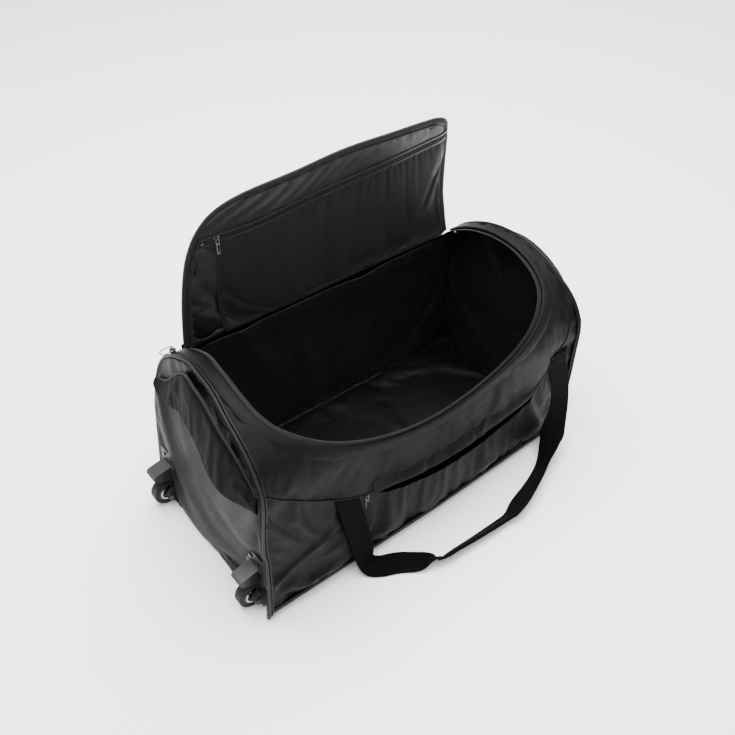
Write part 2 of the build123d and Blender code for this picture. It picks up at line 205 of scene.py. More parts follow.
def grid_uv(P):
    """Flat size of a grid of points, used as texture coordinates in metres."""
    du = np.linalg.norm(np.diff(P, axis=0), axis=-1).mean(1)
    dv = np.linalg.norm(np.diff(P, axis=1), axis=-1).mean(0)
    u = np.r_[0, np.cumsum(du)]
    v = np.r_[0, np.cumsum(dv)]
    U, V = np.meshgrid(u, v, indexing="ij")
    return np.stack([U, V], -1).reshape(-1, 2)


def normals(P):
    du = np.gradient(P, axis=0)
    dv = np.gradient(P, axis=1)
    n = np.cross(du, dv)
    return n / np.maximum(np.linalg.norm(n, axis=-1, keepdims=True), 1e-12)


def bake(o, *mods):
    """Adds the modifiers described, applies them and clears them."""
    for kind, props in mods:
        m = o.modifiers.new(kind.lower(), kind)
        for k, v in props.items():
            setattr(m, k, v)
    dg = bpy.context.evaluated_depsgraph_get()
    dg.update()
    me = bpy.data.meshes.new_from_object(o.evaluated_get(dg), preserve_all_data_layers=True, depsgraph=dg)
    old = o.data
    o.modifiers.clear()
    o.data = me
    name = old.name
    bpy.data.meshes.remove(old)
    me.name = name
    me.polygons.foreach_set("use_smooth", np.ones(len(me.polygons), bool))
    return o


def sheet_piece(name, P, th, mat, sub=1, side=-1.0, flip=False, rim=True, cut=None):
    """A cloth panel with thickness from a grid of points; the grid is its outer face."""
    nu, nv = P.shape[:2]
    f = grid_faces(nu, nv)
    if flip:
        f = f[:, ::-1]
    o = obj_from(name, P.reshape(-1, 3), f, [mat], uv=grid_uv(P))
    if cut is not None:
        cut(o)
    mods = [("SOLIDIFY", dict(thickness=th, offset=side, use_even_offset=False, use_rim=rim))]
    if sub:
        mods.append(("SUBSURF", dict(levels=sub, render_levels=sub)))
    return bake(o, *mods)


def frames_along(path, closed=False):
    p = np.asarray(path, float)
    t = np.gradient(p, axis=0) if not closed else (np.roll(p, -1, 0) - np.roll(p, 1, 0))
    t /= np.maximum(np.linalg.norm(t, axis=1), 1e-12)[:, None]
    n = np.zeros_like(p)
    a = np.cross(t[0], (0, 0, 1.0))
    if np.linalg.norm(a) < 0.2:
        a = np.cross(t[0], (1.0, 0, 0))
    n[0] = a / np.linalg.norm(a)
    for i in range(1, len(p)):
        v = n[i - 1] - t[i] * (n[i - 1] @ t[i])
        n[i] = v / max(np.linalg.norm(v), 1e-12)
    return t, n, np.cross(t, n)


def tube(name, path, r, mat, seg=8, closed=False, caps=True):
    p = np.asarray(path, float)
    t, n, b = frames_along(p, closed)
    rr = np.ones(len(p)) * r
    a = np.linspace(0, 2 * math.pi, seg, endpoint=False)
    P = p[:, None] + rr[:, None, None] * (np.cos(a)[None, :, None] * n[:, None] + np.sin(a)[None, :, None] * b[:, None])
    f = grid_faces(len(p), seg, closed, True).tolist()
    if not closed and caps:
        f.append(list(range(seg))[::-1])
        f.append([(len(p) - 1) * seg + k for k in range(seg)])
    L_ = np.r_[0, np.cumsum(np.linalg.norm(np.diff(p, axis=0), axis=1))]
    uv = np.stack([np.repeat(L_, seg), np.tile(a * r, len(p))], -1)
    return obj_from(name, P.reshape(-1, 3), [x[::-1] for x in f], [mat], uv=uv)


def ribbon(name, path, wdir, width, th, mat, crown=0.0, sub=0, edge=5, n_mid=6):
    """A strap: the path's points, the direction of its width at each, and a rounded flat section."""
    p = np.asarray(path, float)
    t = np.gradient(p, axis=0)
    t /= np.linalg.norm(t, axis=1)[:, None]
    w = np.asarray(wdir, float)
    w = w - t * (w * t).sum(1)[:, None]
    w /= np.linalg.norm(w, axis=1)[:, None]
    nrm = np.cross(t, w)
    width = np.ones(len(p)) * width
    th = np.ones(len(p)) * th
    prof_ = []
    hw = 1.0
    for a in np.linspace(-math.pi / 2, math.pi / 2, edge):
        prof_.append((1, math.cos(a), math.sin(a)))
    mids = np.linspace(1, -1, n_mid + 2)[1:-1]
    top = [(0, x, 1.0) for x in mids]
    for a in np.linspace(math.pi / 2, 3 * math.pi / 2, edge):
        top.append((-1, math.cos(a), math.sin(a)))
    bot = [(0, x, -1.0) for x in mids[::-1]]
    sec = prof_ + top + bot
    V = []
    for i in range(len(p)):
        h = th[i] / 2
        ww = width[i] / 2
        for kind, c, s in sec:
            if kind == 0:
                x = c * (ww - h)
                y = s * h + (crown * (1 - (c) ** 2) if s > 0 else 0)
            else:
                x = kind * (ww - h) + c * h
                y = s * h
            V.append(p[i] + w[i] * x + nrm[i] * y)
    m = len(sec)
    f = grid_faces(len(p), m, False, True).tolist()
    f.append(list(range(m))[::-1])
    f.append([(len(p) - 1) * m + k for k in range(m)])
    L_ = np.r_[0, np.cumsum(np.linalg.norm(np.diff(p, axis=0), axis=1))]
    cv = []
    for kind, c, s in sec:
        cv.append(c if kind == 0 else kind)
    uv = np.stack([np.repeat(L_, m), (np.array(cv)[None] * width[:, None] / 2).ravel()], -1)
    o = obj_from(name, V, f, [mat], uv=uv)
    if sub:
        bake(o, ("SUBSURF", dict(levels=sub, render_levels=sub)))
    return o


def fix_normals(o):
    bm = bmesh.new()
    bm.from_mesh(o.data)
    bmesh.ops.recalc_face_normals(bm, faces=bm.faces)
    bm.to_mesh(o.data)
    bm.free()
    return o


def join(name, objs):
    """Several meshes as one object, kept as separate islands."""
    verts, faces, uvs, mi, mats = [], [], [], [], []
    off = 0
    for o in objs:
        me = o.data
        for m in me.materials:
            if m not in mats:
                mats.append(m)
        loc = [mats.index(m) for m in me.materials]
        co = np.zeros(len(me.vertices) * 3); me.vertices.foreach_get("co", co)
        verts.append(co.reshape(-1, 3))
        for p in me.polygons:
            faces.append([v + off for v in p.vertices])
            mi.append(loc[p.material_index] if loc else 0)
        if me.uv_layers:
            u = np.zeros(len(me.loops) * 2); me.uv_layers[0].data.foreach_get("uv", u)
        else:
            u = np.zeros(len(me.loops) * 2)
        uvs.append(u)
        off += len(me.vertices)
    me = bpy.data.meshes.new(name)
    me.from_pydata(np.vstack(verts).tolist(), [], faces)
    lay = me.uv_layers.new(name="UVMap")
    lay.data.foreach_set("uv", np.concatenate(uvs).astype(np.float32))
    for m in mats:
        me.materials.append(m)
    me.polygons.foreach_set("material_index", np.array(mi, np.int32))
    me.polygons.foreach_set("use_smooth", np.ones(len(me.polygons), bool))
    me.update()
    o = bpy.data.objects.new(name, me)
    coll.objects.link(o)
    for x in objs:
        bpy.data.objects.remove(x)
    return o


def boxes_along(name, path, nrm, size, pitch, mat, alt=0.0, phase=0.0):
    """Small rounded blocks along a path (zip teeth, stitches): size = (along, across, high)."""
    p = np.asarray(path, float)
    d = np.r_[0, np.cumsum(np.linalg.norm(np.diff(p, axis=0), axis=1))]
    k = max(2, int(d[-1] / pitch))
    s = (np.arange(k) + 0.5 + phase) * d[-1] / k
    s = s[s < d[-1]]
    c = np.stack([np.interp(s, d, p[:, i]) for i in range(3)], -1)
    c2 = np.stack([np.interp(np.minimum(s + 1e-4, d[-1]), d, p[:, i]) for i in range(3)], -1)
    c1 = np.stack([np.interp(np.maximum(s - 1e-4, 0), d, p[:, i]) for i in range(3)], -1)
    t = c2 - c1; t /= np.linalg.norm(t, axis=1)[:, None]
    n = np.stack([np.interp(s, d, np.asarray(nrm, float)[:, i]) for i in range(3)], -1)
    n -= t * (n * t).sum(1)[:, None]; n /= np.linalg.norm(n, axis=1)[:, None]
    b = np.cross(n, t)
    a, w, h = size[0] / 2, size[1] / 2, size[2]
    V, F = [], []
    for i in range(len(c)):
        sh = alt * (1 if i % 2 else -1)
        o = c[i] + b[i] * sh
        base = len(V)
        for (x, y, z) in ((-a, -w, 0), (a, -w, 0), (a, w, 0), (-a, w, 0), (-a * .55, -w * .7, h), (a * .55, -w * .7, h), (a * .55, w * .7, h), (-a * .55, w * .7, h)):
            V.append(o + t[i] * x + b[i] * y + n[i] * z)
        for q in ((3, 2, 1, 0), (4, 5, 6, 7), (0, 1, 5, 4), (1, 2, 6, 5), (2, 3, 7, 6), (3, 0, 4, 7)):
            F.append([base + e for e in q])
    return obj_from(name, V, F, [mat], uv=np.zeros((len(V), 2)), smooth=False)


def cloth(P, pin, slack=0.03, frames_=18, gravity=0.0, cap=0.010, bend=0.5, seed=1, amp=0.0012, pressure=0.0, stiff=15.0, wave=0.05, mass=0.25, push=None):
    """Lets a grid of points crumple: pinned where pin is 1, with slack times more cloth than room."""
    nu, nv = P.shape[:2]
    N = normals(P)
    rng = Vector((seed * 7.3, seed * 3.1, seed * 1.7))
    base = P.copy()
    nz = np.array([noise.noise(Vector(v) / wave + rng) + 0.5 * noise.noise(Vector(v) / (wave * 0.4) + rng) for v in P.reshape(-1, 3)]).reshape(nu, nv)
    start = base + N * (nz * amp * (1 - pin))[..., None]
    o = obj_from("cloth_tmp", start.reshape(-1, 3), grid_faces(nu, nv))
    vg = o.vertex_groups.new(name="pin")
    pw = pin.reshape(-1)
    for w_ in np.unique(np.round(pw, 2)):
        if w_ > 0:
            vg.add(np.nonzero(np.abs(pw - w_) < 0.006)[0].tolist(), float(w_), "REPLACE")
    m = o.modifiers.new("cloth", "CLOTH")
    cs = m.settings
    cs.quality = 5
    cs.mass = mass
    cs.tension_stiffness = stiff; cs.compression_stiffness = stiff; cs.shear_stiffness = stiff * 0.5
    cs.bending_stiffness = bend
    cs.tension_damping = 8; cs.compression_damping = 8; cs.shear_damping = 8; cs.bending_damping = 1.0
    cs.air_damping = 3.0
    cs.vertex_group_mass = "pin"
    cs.shrink_min = -slack
    cs.effector_weights.gravity = gravity
    if pressure:
        cs.use_pressure = True
        cs.uniform_pressure_force = pressure
    m.collision_settings.use_collision = False
    m.collision_settings.use_self_collision = False
    m.point_cache.frame_start = 1
    m.point_cache.frame_end = frames_ + 1
    for fr in range(1, frames_ + 1):
        scene.frame_set(fr)
    dg = bpy.context.evaluated_depsgraph_get()
    ev = o.evaluated_get(dg)
    co = np.zeros(len(ev.data.vertices) * 3, np.float32)
    ev.data.vertices.foreach_get("co", co)
    Q = co.reshape(nu, nv, 3).astype(float)
    bpy.data.objects.remove(o)
    scene.frame_set(1)
    d = Q - base
    ln = np.linalg.norm(d, axis=-1, keepdims=True)
    d = d * np.where(ln > 1e-9, cap * np.tanh(ln / cap) / np.maximum(ln, 1e-9), 0)
    return base + d * (1 - pin)[..., None]


def edge_pin(nu, nv, sides="LRBT", depth=1, soft=0):
    """Pin weights: 1 on the chosen sides of a grid (L/R = first/last row, B/T = first/last column)."""
    w = np.zeros((nu, nv))
    I = np.arange(nu)[:, None] * np.ones((1, nv))
    J = np.ones((nu, 1)) * np.arange(nv)[None]
    for c, d in (("L", I), ("R", nu - 1 - I), ("B", J), ("T", nv - 1 - J)):
        if c in sides:
            w = np.maximum(w, np.where(d < depth, 1.0, 0.0))
            if soft:
                w = np.maximum(w, np.clip(1 - (d - depth + 1) / (soft + 1), 0, 1) * (d >= depth) * 0.9)
    return w


# ------------------------------------------------------------------ materials
def new_mat(name):
    m = bpy.data.materials.new(name)
    m.use_nodes = True
    nt = m.node_tree
    nt.nodes.clear()
    out = nt.nodes.new("ShaderNodeOutputMaterial")
    bs = nt.nodes.new("ShaderNodeBsdfPrincipled")
    nt.links.new(bs.outputs[0], out.inputs[0])
    return m, nt, bs


def math_node(nt, op, a, b=None, c=None):
    n = nt.nodes.new("ShaderNodeMath")
    n.operation = op
    for i, v in enumerate((a, b, c)):
        if v is None:
            continue
        if isinstance(v, (int, float)):
            n.inputs[i].default_value = v
        else:
            nt.links.new(v, n.inputs[i])
    return n.outputs[0]


def noise_node(nt, vec, scale, detail=3.0, rough=0.5):
    n = nt.nodes.new("ShaderNodeTexNoise")
    n.inputs["Scale"].default_value = scale
    n.inputs["Detail"].default_value = detail
    n.inputs["Roughness"].default_value = rough
    nt.links.new(vec, n.inputs["Vector"])
    return n.outputs["Fac"]


def ramp(nt, fac, stops):
    n = nt.nodes.new("ShaderNodeValToRGB")
    e = n.color_ramp.elements
    while len(e) < len(stops):
        e.new(0.5)
    for i, (p, c) in enumerate(stops):
        e[i].position = p
        e[i].color = (*c, 1.0)
    nt.links.new(fac, n.inputs[0])
    return n.outputs[0]


def woven(name, dark, light, rough=(0.5, 0.66), pitch=0.0009, bump=0.25, sheen=0.25, kind="plain", spec=0.4, crease=0.0, dist=0.0004, crease_scale=26.0):
    """Cloth: thread pattern from the flat coordinates, uneven colour and gloss, fine creases."""
    m, nt, bs = new_mat(name)
    uvn = nt.nodes.new("ShaderNodeUVMap")
    uvn.uv_map = "UVMap"
    sep = nt.nodes.new("ShaderNodeSeparateXYZ")
    nt.links.new(uvn.outputs[0], sep.inputs[0])
    tc = nt.nodes.new("ShaderNodeTexCoord")
    ob = tc.outputs["Object"]
    u, v = sep.outputs[0], sep.outputs[1]
    if kind == "plain":
        a = math_node(nt, "SINE", math_node(nt, "MULTIPLY", u, 2 * math.pi / pitch))
        b = math_node(nt, "SINE", math_node(nt, "MULTIPLY", v, 2 * math.pi / pitch))
        h = math_node(nt, "MULTIPLY_ADD", math_node(nt, "MULTIPLY", a, b), 0.5, 0.5)
    elif kind == "webbing":
        # lengthwise ribs crossed by a herringbone of picks
        a = math_node(nt, "ABSOLUTE", math_node(nt, "SINE", math_node(nt, "MULTIPLY", v, math.pi / (pitch * 1.6))))
        zig = math_node(nt, "MULTIPLY", math_node(nt, "ABSOLUTE", math_node(nt, "SUBTRACT", math_node(nt, "FRACT", math_node(nt, "DIVIDE", v, pitch * 6.4)), 0.5)), pitch * 5)
        b = math_node(nt, "ABSOLUTE", math_node(nt, "SINE", math_node(nt, "MULTIPLY", math_node(nt, "ADD", u, zig), math.pi / pitch)))
        h = math_node(nt, "MULTIPLY_ADD", b, 0.45, math_node(nt, "MULTIPLY", a, 0.55))
    elif kind == "rib":
        a = math_node(nt, "ABSOLUTE", math_node(nt, "SINE", math_node(nt, "MULTIPLY", u, math.pi / pitch)))
        h = math_node(nt, "POWER", a, 0.7)
    elif kind == "mesh":
        # staggered rows of small holes
        uu = math_node(nt, "DIVIDE", u, pitch)
        vv = math_node(nt, "DIVIDE", v, pitch * 0.8)
        row = math_node(nt, "MULTIPLY", math_node(nt, "FRACT", math_node(nt, "MULTIPLY", math_node(nt, "FLOOR", vv), 0.5)), 1.0)
        fu = math_node(nt, "SUBTRACT", math_node(nt, "FRACT", math_node(nt, "ADD", uu, row)), 0.5)
        fv = math_node(nt, "SUBTRACT", math_node(nt, "FRACT", vv), 0.5)
        r = math_node(nt, "SQRT", math_node(nt, "ADD", math_node(nt, "MULTIPLY", fu, fu), math_node(nt, "MULTIPLY", fv, fv)))
        h = math_node(nt, "SMOOTH_MIN", math_node(nt, "MULTIPLY", r, 2.6), 1.0, 0.1)
    big = noise_node(nt, ob, 9.0, 4.0, 0.55)
    mid = noise_node(nt, ob, 70.0, 3.0, 0.6)
    fine = noise_node(nt, ob, 900.0, 2.0, 0.6)
    mixf = math_node(nt, "MULTIPLY_ADD", big, 0.55, math_node(nt, "MULTIPLY", mid, 0.45))
    f2 = math_node(nt, "MULTIPLY_ADD", h, 0.30, math_node(nt, "MULTIPLY", mixf, 0.70))
    col = ramp(nt, f2, [(0.18, dark), (0.82, light)])
    nt.links.new(col, bs.inputs["Base Color"])
    rr = nt.nodes.new("ShaderNodeMapRange")
    rr.inputs["From Min"].default_value = 0.3
    rr.inputs["From Max"].default_value = 0.7
    rr.inputs["To Min"].default_value = rough[0]
    rr.inputs["To Max"].default_value = rough[1]
    nt.links.new(mixf, rr.inputs["Value"])
    nt.links.new(rr.outputs[0], bs.inputs["Roughness"])
    bs.inputs["Specular IOR Level"].default_value = spec
    bs.inputs["Sheen Weight"].default_value = sheen
    bs.inputs["Sheen Roughness"].default_value = 0.45
    bs.inputs["Sheen Tint"].default_value = (0.8, 0.82, 0.86, 1.0)
    last = None
    hh = math_node(nt, "MULTIPLY_ADD", fine, 0.25, h)
    b1 = nt.nodes.new("ShaderNodeBump")
    b1.inputs["Strength"].default_value = bump
    b1.inputs["Distance"].default_value = dist
    nt.links.new(hh, b1.inputs["Height"])
    last = b1
    if crease:
        # short soft creases at two scales, stretched so that they run as folds
        mp = nt.nodes.new("ShaderNodeMapping")
        mp.inputs["Scale"].default_value = (1.0, 1.0, 0.45)
        mp.inputs["Rotation"].default_value = (0.3, 0.5, 0.4)
        nt.links.new(ob, mp.inputs[0])
        c1 = noise_node(nt, mp.outputs[0], crease_scale, 5.0, 0.62)
        ridge = math_node(nt, "ABSOLUTE", math_node(nt, "SUBTRACT", c1, 0.5))
        b2 = nt.nodes.new("ShaderNodeBump")
        b2.inputs["Strength"].default_value = crease
        b2.inputs["Distance"].default_value = 0.006
        nt.links.new(ridge, b2.inputs["Height"])
        nt.links.new(b1.outputs[0], b2.inputs["Normal"])
        last = b2
    nt.links.new(last.outputs[0], bs.inputs["Normal"])
    return m


def hard(name, col, rough=0.4, metal=0.0, grain=600.0, bump=0.08, spec=0.5, var=0.15, coat=0.0):
    """Moulded plastic, rubber or metal with a fine grain and slightly uneven gloss."""
    m, nt, bs = new_mat(name)
    tc = nt.nodes.new("ShaderNodeTexCoord")
    ob = tc.outputs["Object"]
    n1 = noise_node(nt, ob, 35.0, 4.0, 0.6)
    n2 = noise_node(nt, ob, grain, 2.0, 0.5)
    lo = tuple(c * (1 - var) for c in col)
    hi = tuple(c * (1 + var) for c in col)
    nt.links.new(ramp(nt, n1, [(0.3, lo), (0.7, hi)]), bs.inputs["Base Color"])
    mr = nt.nodes.new("ShaderNodeMapRange")
    mr.inputs["From Min"].default_value = 0.3; mr.inputs["From Max"].default_value = 0.7
    mr.inputs["To Min"].default_value = max(0.05, rough - 0.07); mr.inputs["To Max"].default_value = rough + 0.07
    nt.links.new(n1, mr.inputs["Value"])
    nt.links.new(mr.outputs[0], bs.inputs["Roughness"])
    bs.inputs["Metallic"].default_value = metal
    bs.inputs["Specular IOR Level"].default_value = spec
    if coat:
        bs.inputs["Coat Weight"].default_value = coat
    b = nt.nodes.new("ShaderNodeBump")
    b.inputs["Strength"].default_value = bump
    b.inputs["Distance"].default_value = 0.0003
    nt.links.new(n2, b.inputs["Height"])
    nt.links.new(b.outputs[0], bs.inputs["Normal"])
    return m


M_SHELL = woven("shell_cloth", (0.0017, 0.0017, 0.0018), (0.0048, 0.0047, 0.0048), rough=(0.38, 0.52), pitch=0.0011, bump=0.35, sheen=0.0, spec=0.070, crease=0.40)
M_GLOSS = woven("pocket_cloth", (0.0014, 0.0014, 0.0015), (0.0038, 0.0037, 0.0038), rough=(0.32, 0.46), pitch=0.0011, bump=0.30, sheen=0.0, spec=0.062, crease=0.55, crease_scale=20.0)
M_LINING = woven("lining_cloth", (0.0026, 0.0026, 0.0027), (0.0080, 0.0078, 0.0080), rough=(0.36, 0.50), pitch=0.0006, bump=0.15, sheen=0.02, spec=0.42, crease=0.55, crease_scale=14.0)
# the lining's floor: the same lining cloth as the walls, painted darker as the shade at the bottom of the bag
M_LINFL_SHADE = woven("lining_floor_shade", (0.0012, 0.0012, 0.0012), (0.0034, 0.0033, 0.0034), rough=(0.42, 0.56), pitch=0.0006, bump=0.15, sheen=0.0, spec=0.12, crease=0.45, crease_scale=18.0)
M_LIDLIN = woven("lid_lining", (0.0044, 0.0043, 0.0044), (0.0115, 0.0112, 0.0114), rough=(0.38, 0.52), pitch=0.0006, bump=0.15, sheen=0.05, spec=0.28, crease=0.35, crease_scale=16.0)
M_MESH = woven("pocket_mesh", (0.0014, 0.0013, 0.0014), (0.0105, 0.0098, 0.0101), rough=(0.55, 0.7), pitch=0.0030, bump=0.8, sheen=0.04, spec=0.10, kind="mesh", dist=0.0008)
M_WEB = woven("webbing", (0.0014, 0.0014, 0.0014), (0.0040, 0.0039, 0.0040), rough=(0.78, 0.9), pitch=0.0017, bump=0.6, sheen=0.0, kind="webbing", spec=0.03, dist=0.0006)
M_BAND = woven("band_cloth", (0.0008, 0.0008, 0.0009), (0.0023, 0.0023, 0.0024), rough=(0.8, 0.9), pitch=0.0014, bump=0.5, sheen=0.02, spec=0.06)
M_BIND = woven("binding_tape", (0.0030, 0.0030, 0.0031), (0.0085, 0.0085, 0.0087), rough=(0.6, 0.75), pitch=0.0012, bump=0.5, sheen=0.04, kind="rib", spec=0.15, dist=0.0004)
M_PIPE = woven("piping", (0.0030, 0.0030, 0.0031), (0.0080, 0.0080, 0.0082), rough=(0.38, 0.5), pitch=0.0010, bump=0.3, sheen=0.0, spec=0.16)
# near-black: painted shade for the inside of the front pocket's open mouth; the pocket's zip tape shares this colour,
# its own dark colour pushed darker as painted shade
M_MOUTH_SHADE = woven("pocket_tape_mouth_shade", (0.0005, 0.0005, 0.0005), (0.0012, 0.0012, 0.0012), rough=(0.8, 0.9), pitch=0.0014, bump=0.4, sheen=0.0, spec=0.02)
M_TEETH = hard("zip_teeth", (0.0060, 0.0060, 0.0062), rough=0.38, grain=1500.0, spec=0.35)
M_THREAD = hard("thread", (0.0080, 0.0080, 0.0082), rough=0.6, grain=2500.0, bump=0.3, spec=0.2)
M_ZIP = hard("zip_enamel", (0.012, 0.012, 0.0125), rough=0.26, grain=900.0, bump=0.04, spec=0.6, coat=0.4)
M_HOUS = hard("housing_plastic", (0.0062, 0.0062, 0.0065), rough=0.42, grain=1400.0, bump=0.25, spec=0.35)
M_TYRE = hard("tyre_rubber", (0.0065, 0.0065, 0.0066), rough=0.62, grain=1800.0, bump=0.25, spec=0.22)
M_HUB = hard("hub_plastic", (0.0065, 0.0065, 0.0068), rough=0.33, grain=1200.0, bump=0.06, spec=0.4)
M_RING = hard("bright_ring", (0.55, 0.56, 0.58), rough=0.22, metal=1.0, grain=1000.0, bump=0.02, var=0.06)
M_STEEL = hard("dark_steel", (0.10, 0.10, 0.105), rough=0.35, metal=1.0, grain=1000.0, bump=0.05)
M_NYLON = hard("nylon", (0.35, 0.35, 0.33), rough=0.5, grain=900.0)
M_BOARD = hard("board_sheet", (0.02, 0.02, 0.021), rough=0.6, grain=500.0)

# ------------------------------------------------------------------ camera
cam = bpy.data.objects.new("camera", bpy.data.cameras.new("camera"))
coll.objects.link(cam)
cam.data.sensor_width = 36.0
cam.data.lens = 950.33 / 735 * 36.0
cam.data.clip_end = 50
_az, _el, _roll = math.radians(-39.1631), math.radians(41.8574), math.radians(1.1528)
_back = Vector((math.sin(_az) * math.cos(_el), -math.cos(_az) * math.cos(_el), math.sin(_el)))
_right = (-_back).cross(Vector((0, 0, 1))).normalized()
_up = _right.cross(-_back)
_r2 = _right * math.cos(_roll) + _up * math.sin(_roll)
_u2 = -_right * math.sin(_roll) + _up * math.cos(_roll)
_pos = Vector((0, 0, 0.17)) + _back * 1.8443 + _right * -0.0121 + _up * 0.0506
cam.matrix_world = Matrix(((_r2.x, _u2.x, _back.x, _pos.x), (_r2.y, _u2.y, _back.y, _pos.y), (_r2.z, _u2.z, _back.z, _pos.z), (0, 0, 0, 1)))
scene.camera = cam

# ------------------------------------------------------------------ shape of the soft body
def sag(P, X, s):
    """Returns the points as they are: no belly or dip is added here."""
    return P


def body_pt(x, s, d=0.0):
    x = np.asarray(x, float); s = np.asarray(s, float)
    y, z, ny, nz = prof(s)
    q = np.clip(np.abs(x) / 0.38, 0, 1)
    mid = (1 - q**2)
    front = np.clip(-ny, 0, 1)
    back = np.clip(ny, 0, 1)
    wall = np.clip(s / S1, 0, 1) * np.clip((S2 - s) / (S2 - S1), 0, 1)
    # front wall bellies out a few millimetres at mid height
    belly = 0.006 * np.sin(np.pi * np.clip(s / S1, 0, 1)) * (s > 0) * (s < S1) * mid
    s2 = S5 - s
    belly2 = 0.005 * np.sin(np.pi * np.clip(s2 / S1, 0, 1)) * (s2 > 0) * (s2 < S1) * mid
    dd = d + belly + belly2
    # slow undulation along the cloth
    und = 0.0016 * np.sin(x * 21.0 + s * 9.0) * np.clip(s / 0.1, 0, 1) * np.clip((S5 - s) / 0.1, 0, 1) * np.clip(mid * 3, 0, 1)
    dd = dd + und
    return np.stack([x * np.ones_like(y), y + ny * dd, z + nz * dd], -1)


PIECES = []


def done(o, body, node=None, nodes=()):
    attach(o, body)
    if node or nodes:
        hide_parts(*([node] if node else []), *nodes)
    PIECES.append(o)
    return o


# ---- upper panel round the opening: rim on one side, piping and pocket seam on the other
NA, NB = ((260, 16))
rim = rim_path(NA)
rim_d = np.r_[0, np.cumsum(np.linalg.norm(np.diff(rim, axis=0), axis=1))]
rim_t = rim_d / rim_d[-1]


def outer_path():
    pts = []
    for s in np.linspace(S_HINGE, s_front(0.311), 60):
        z = float(prof(np.array([s]))[1][0])
        pts.append((xw(z) + 0.0035, s))
    a = len(pts)
    for x in np.linspace(-0.352, 0.372, 160):
        pts.append((x, s_front(float(seam_z(x)))))
    b = len(pts)
    z_end = float(seam_z(0.373))
    for s in np.linspace(s_front(z_end), S_HINGE, 60):
        z = float(prof(np.array([s]))[1][0])
        pts.append((xt(z) - 0.0035, s))
    return np.array(pts), a, b


op, ia, ib = outer_path()
od = np.r_[0, np.cumsum(np.linalg.norm(np.diff(op, axis=0), axis=1))]
# matching stations: hinge end, corner of the rim, middle, other corner, hinge end
def station(path, x, first=True):
    k = np.argmin(np.abs(path[:, 0] - x)) if first else 0
    return k


rc = [0.0]
rk = [int(np.argmin(np.abs(rim[:, 0] + 0.300) + (rim[:, 1] > 0.45) * 9)), int(np.argmin(np.abs(rim[:, 0]))), int(np.argmin(np.abs(rim[:, 0] - 0.300) + (rim[:, 1] > 0.45) * 9))]
ok = [int(np.argmin(np.abs(op[:, 0] + 0.330) + (np.arange(len(op)) < ia) * 9)), int(np.argmin(np.abs(op[:, 0]) + (np.arange(len(op)) < ia) * 9)), int(np.argmin(np.abs(op[:, 0] - 0.345) + (np.arange(len(op)) > ib) * 9))]
tr = np.r_[0, rim_t[rk], 1]
to = np.r_[0, (od / od[-1])[ok], 1]
outer = np.stack([np.interp(np.interp(rim_t, tr, to), od / od[-1], op[:, k]) for k in (0, 1)], -1)
b = np.linspace(0, 1, NB)
XS = rim[:, None, :] * (1 - b)[None, :, None] + outer[:, None, :] * b[None, :, None]
P_up = body_pt(XS[..., 0], XS[..., 1], 0.0012)
pin = edge_pin(NA, NB, "LRBT", 1)
P_up = cloth(P_up, pin, slack=0.02, frames_=14, cap=0.004, amp=0.0008, seed=2, wave=0.07)
upper = sheet_piece("upper_panel", P_up, 0.0024, M_SHELL, sub=1, side=-1.0, flip=True)
done(upper, "bag", nodes=("front_yoke", "wheel_end_collar", "tow_end_collar"))

# ---- front pocket outer panel
NU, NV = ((130, 44))
xs = np.linspace(-1, 1, NU)
vs = np.linspace(0, 1, NV)
XG = np.zeros((NU, NV)); SG = np.zeros((NU, NV))
for i, q in enumerate(xs):
    for j, v in enumerate(vs):
        x = q * 0.373
        s_lo = 0.024 - BR
        tm = min(max((x + 0.152) / 0.440, 0.0), 1.0)
        s_hi = s_front(float(seam_z(x)) - 0.001 - 0.043 * math.sin(math.pi * tm) ** 0.45)
        s = s_lo + (s_hi - s_lo) * v
        z = float(prof(np.array([s]))[1][0])
        lo, hi = xw(z) + 0.0035, xt(z) - 0.0035
        XG[i, j] = (lo + hi) / 2 + q * (hi - lo) / 2
        SG[i, j] = s
P_pk = body_pt(XG, SG, -0.0012)


def ridge(X, Z, x0, z0, x1, z1, w, h):
    """A fold from one point of the front wall to another: height h, half width w, dying out at both ends."""
    dx, dz = x1 - x0, z1 - z0
    l2 = dx * dx + dz * dz
    t = np.clip(((X - x0) * dx + (Z - z0) * dz) / l2, 0, 1)
    dist = np.hypot(X - x0 - dx * t, Z - z0 - dz * t)
    return h * np.exp(-(dist / w) ** 2) * (0.25 + 0.75 * np.sin(np.pi * np.clip(t * 0.9 + 0.05, 0, 1)))


ZG = P_pk[..., 2]
fold = (ridge(XG, ZG, -0.380, 0.077, -0.215, 0.140, 0.010, 0.0075) - ridge(XG, ZG, -0.375, 0.060, -0.210, 0.118, 0.014, 0.0050)
        + ridge(XG, ZG, -0.372, 0.262, -0.305, 0.135, 0.011, 0.0065) - ridge(XG, ZG, -0.350, 0.250, -0.282, 0.128, 0.009, 0.0050)
        + ridge(XG, ZG, -0.318, 0.232, -0.258, 0.120, 0.010, 0.0060) - ridge(XG, ZG, -0.290, 0.222, -0.236, 0.125, 0.008, 0.0045)
        + ridge(XG, ZG, -0.262, 0.200, -0.232, 0.135, 0.007, 0.0040) + ridge(XG, ZG, -0.372, 0.200, -0.330, 0.110, 0.009, 0.0040)
        + ridge(XG, ZG, -0.330, 0.045, -0.235, 0.040, 0.012, 0.0050) - ridge(XG, ZG, -0.300, 0.070, -0.215, 0.072, 0.010, 0.0040)
        + ridge(XG, ZG, 0.060, 0.050, 0.300, 0.062, 0.012, 0.0028) + ridge(XG, ZG, 0.250, 0.150, 0.300, 0.060, 0.012, 0.0032))
edge_ = np.clip(np.minimum((XG + 0.375) / 0.02, 1), 0, 1) * np.clip((ZG - 0.026) / 0.015, 0, 1)
P_pk[..., 1] -= fold * edge_
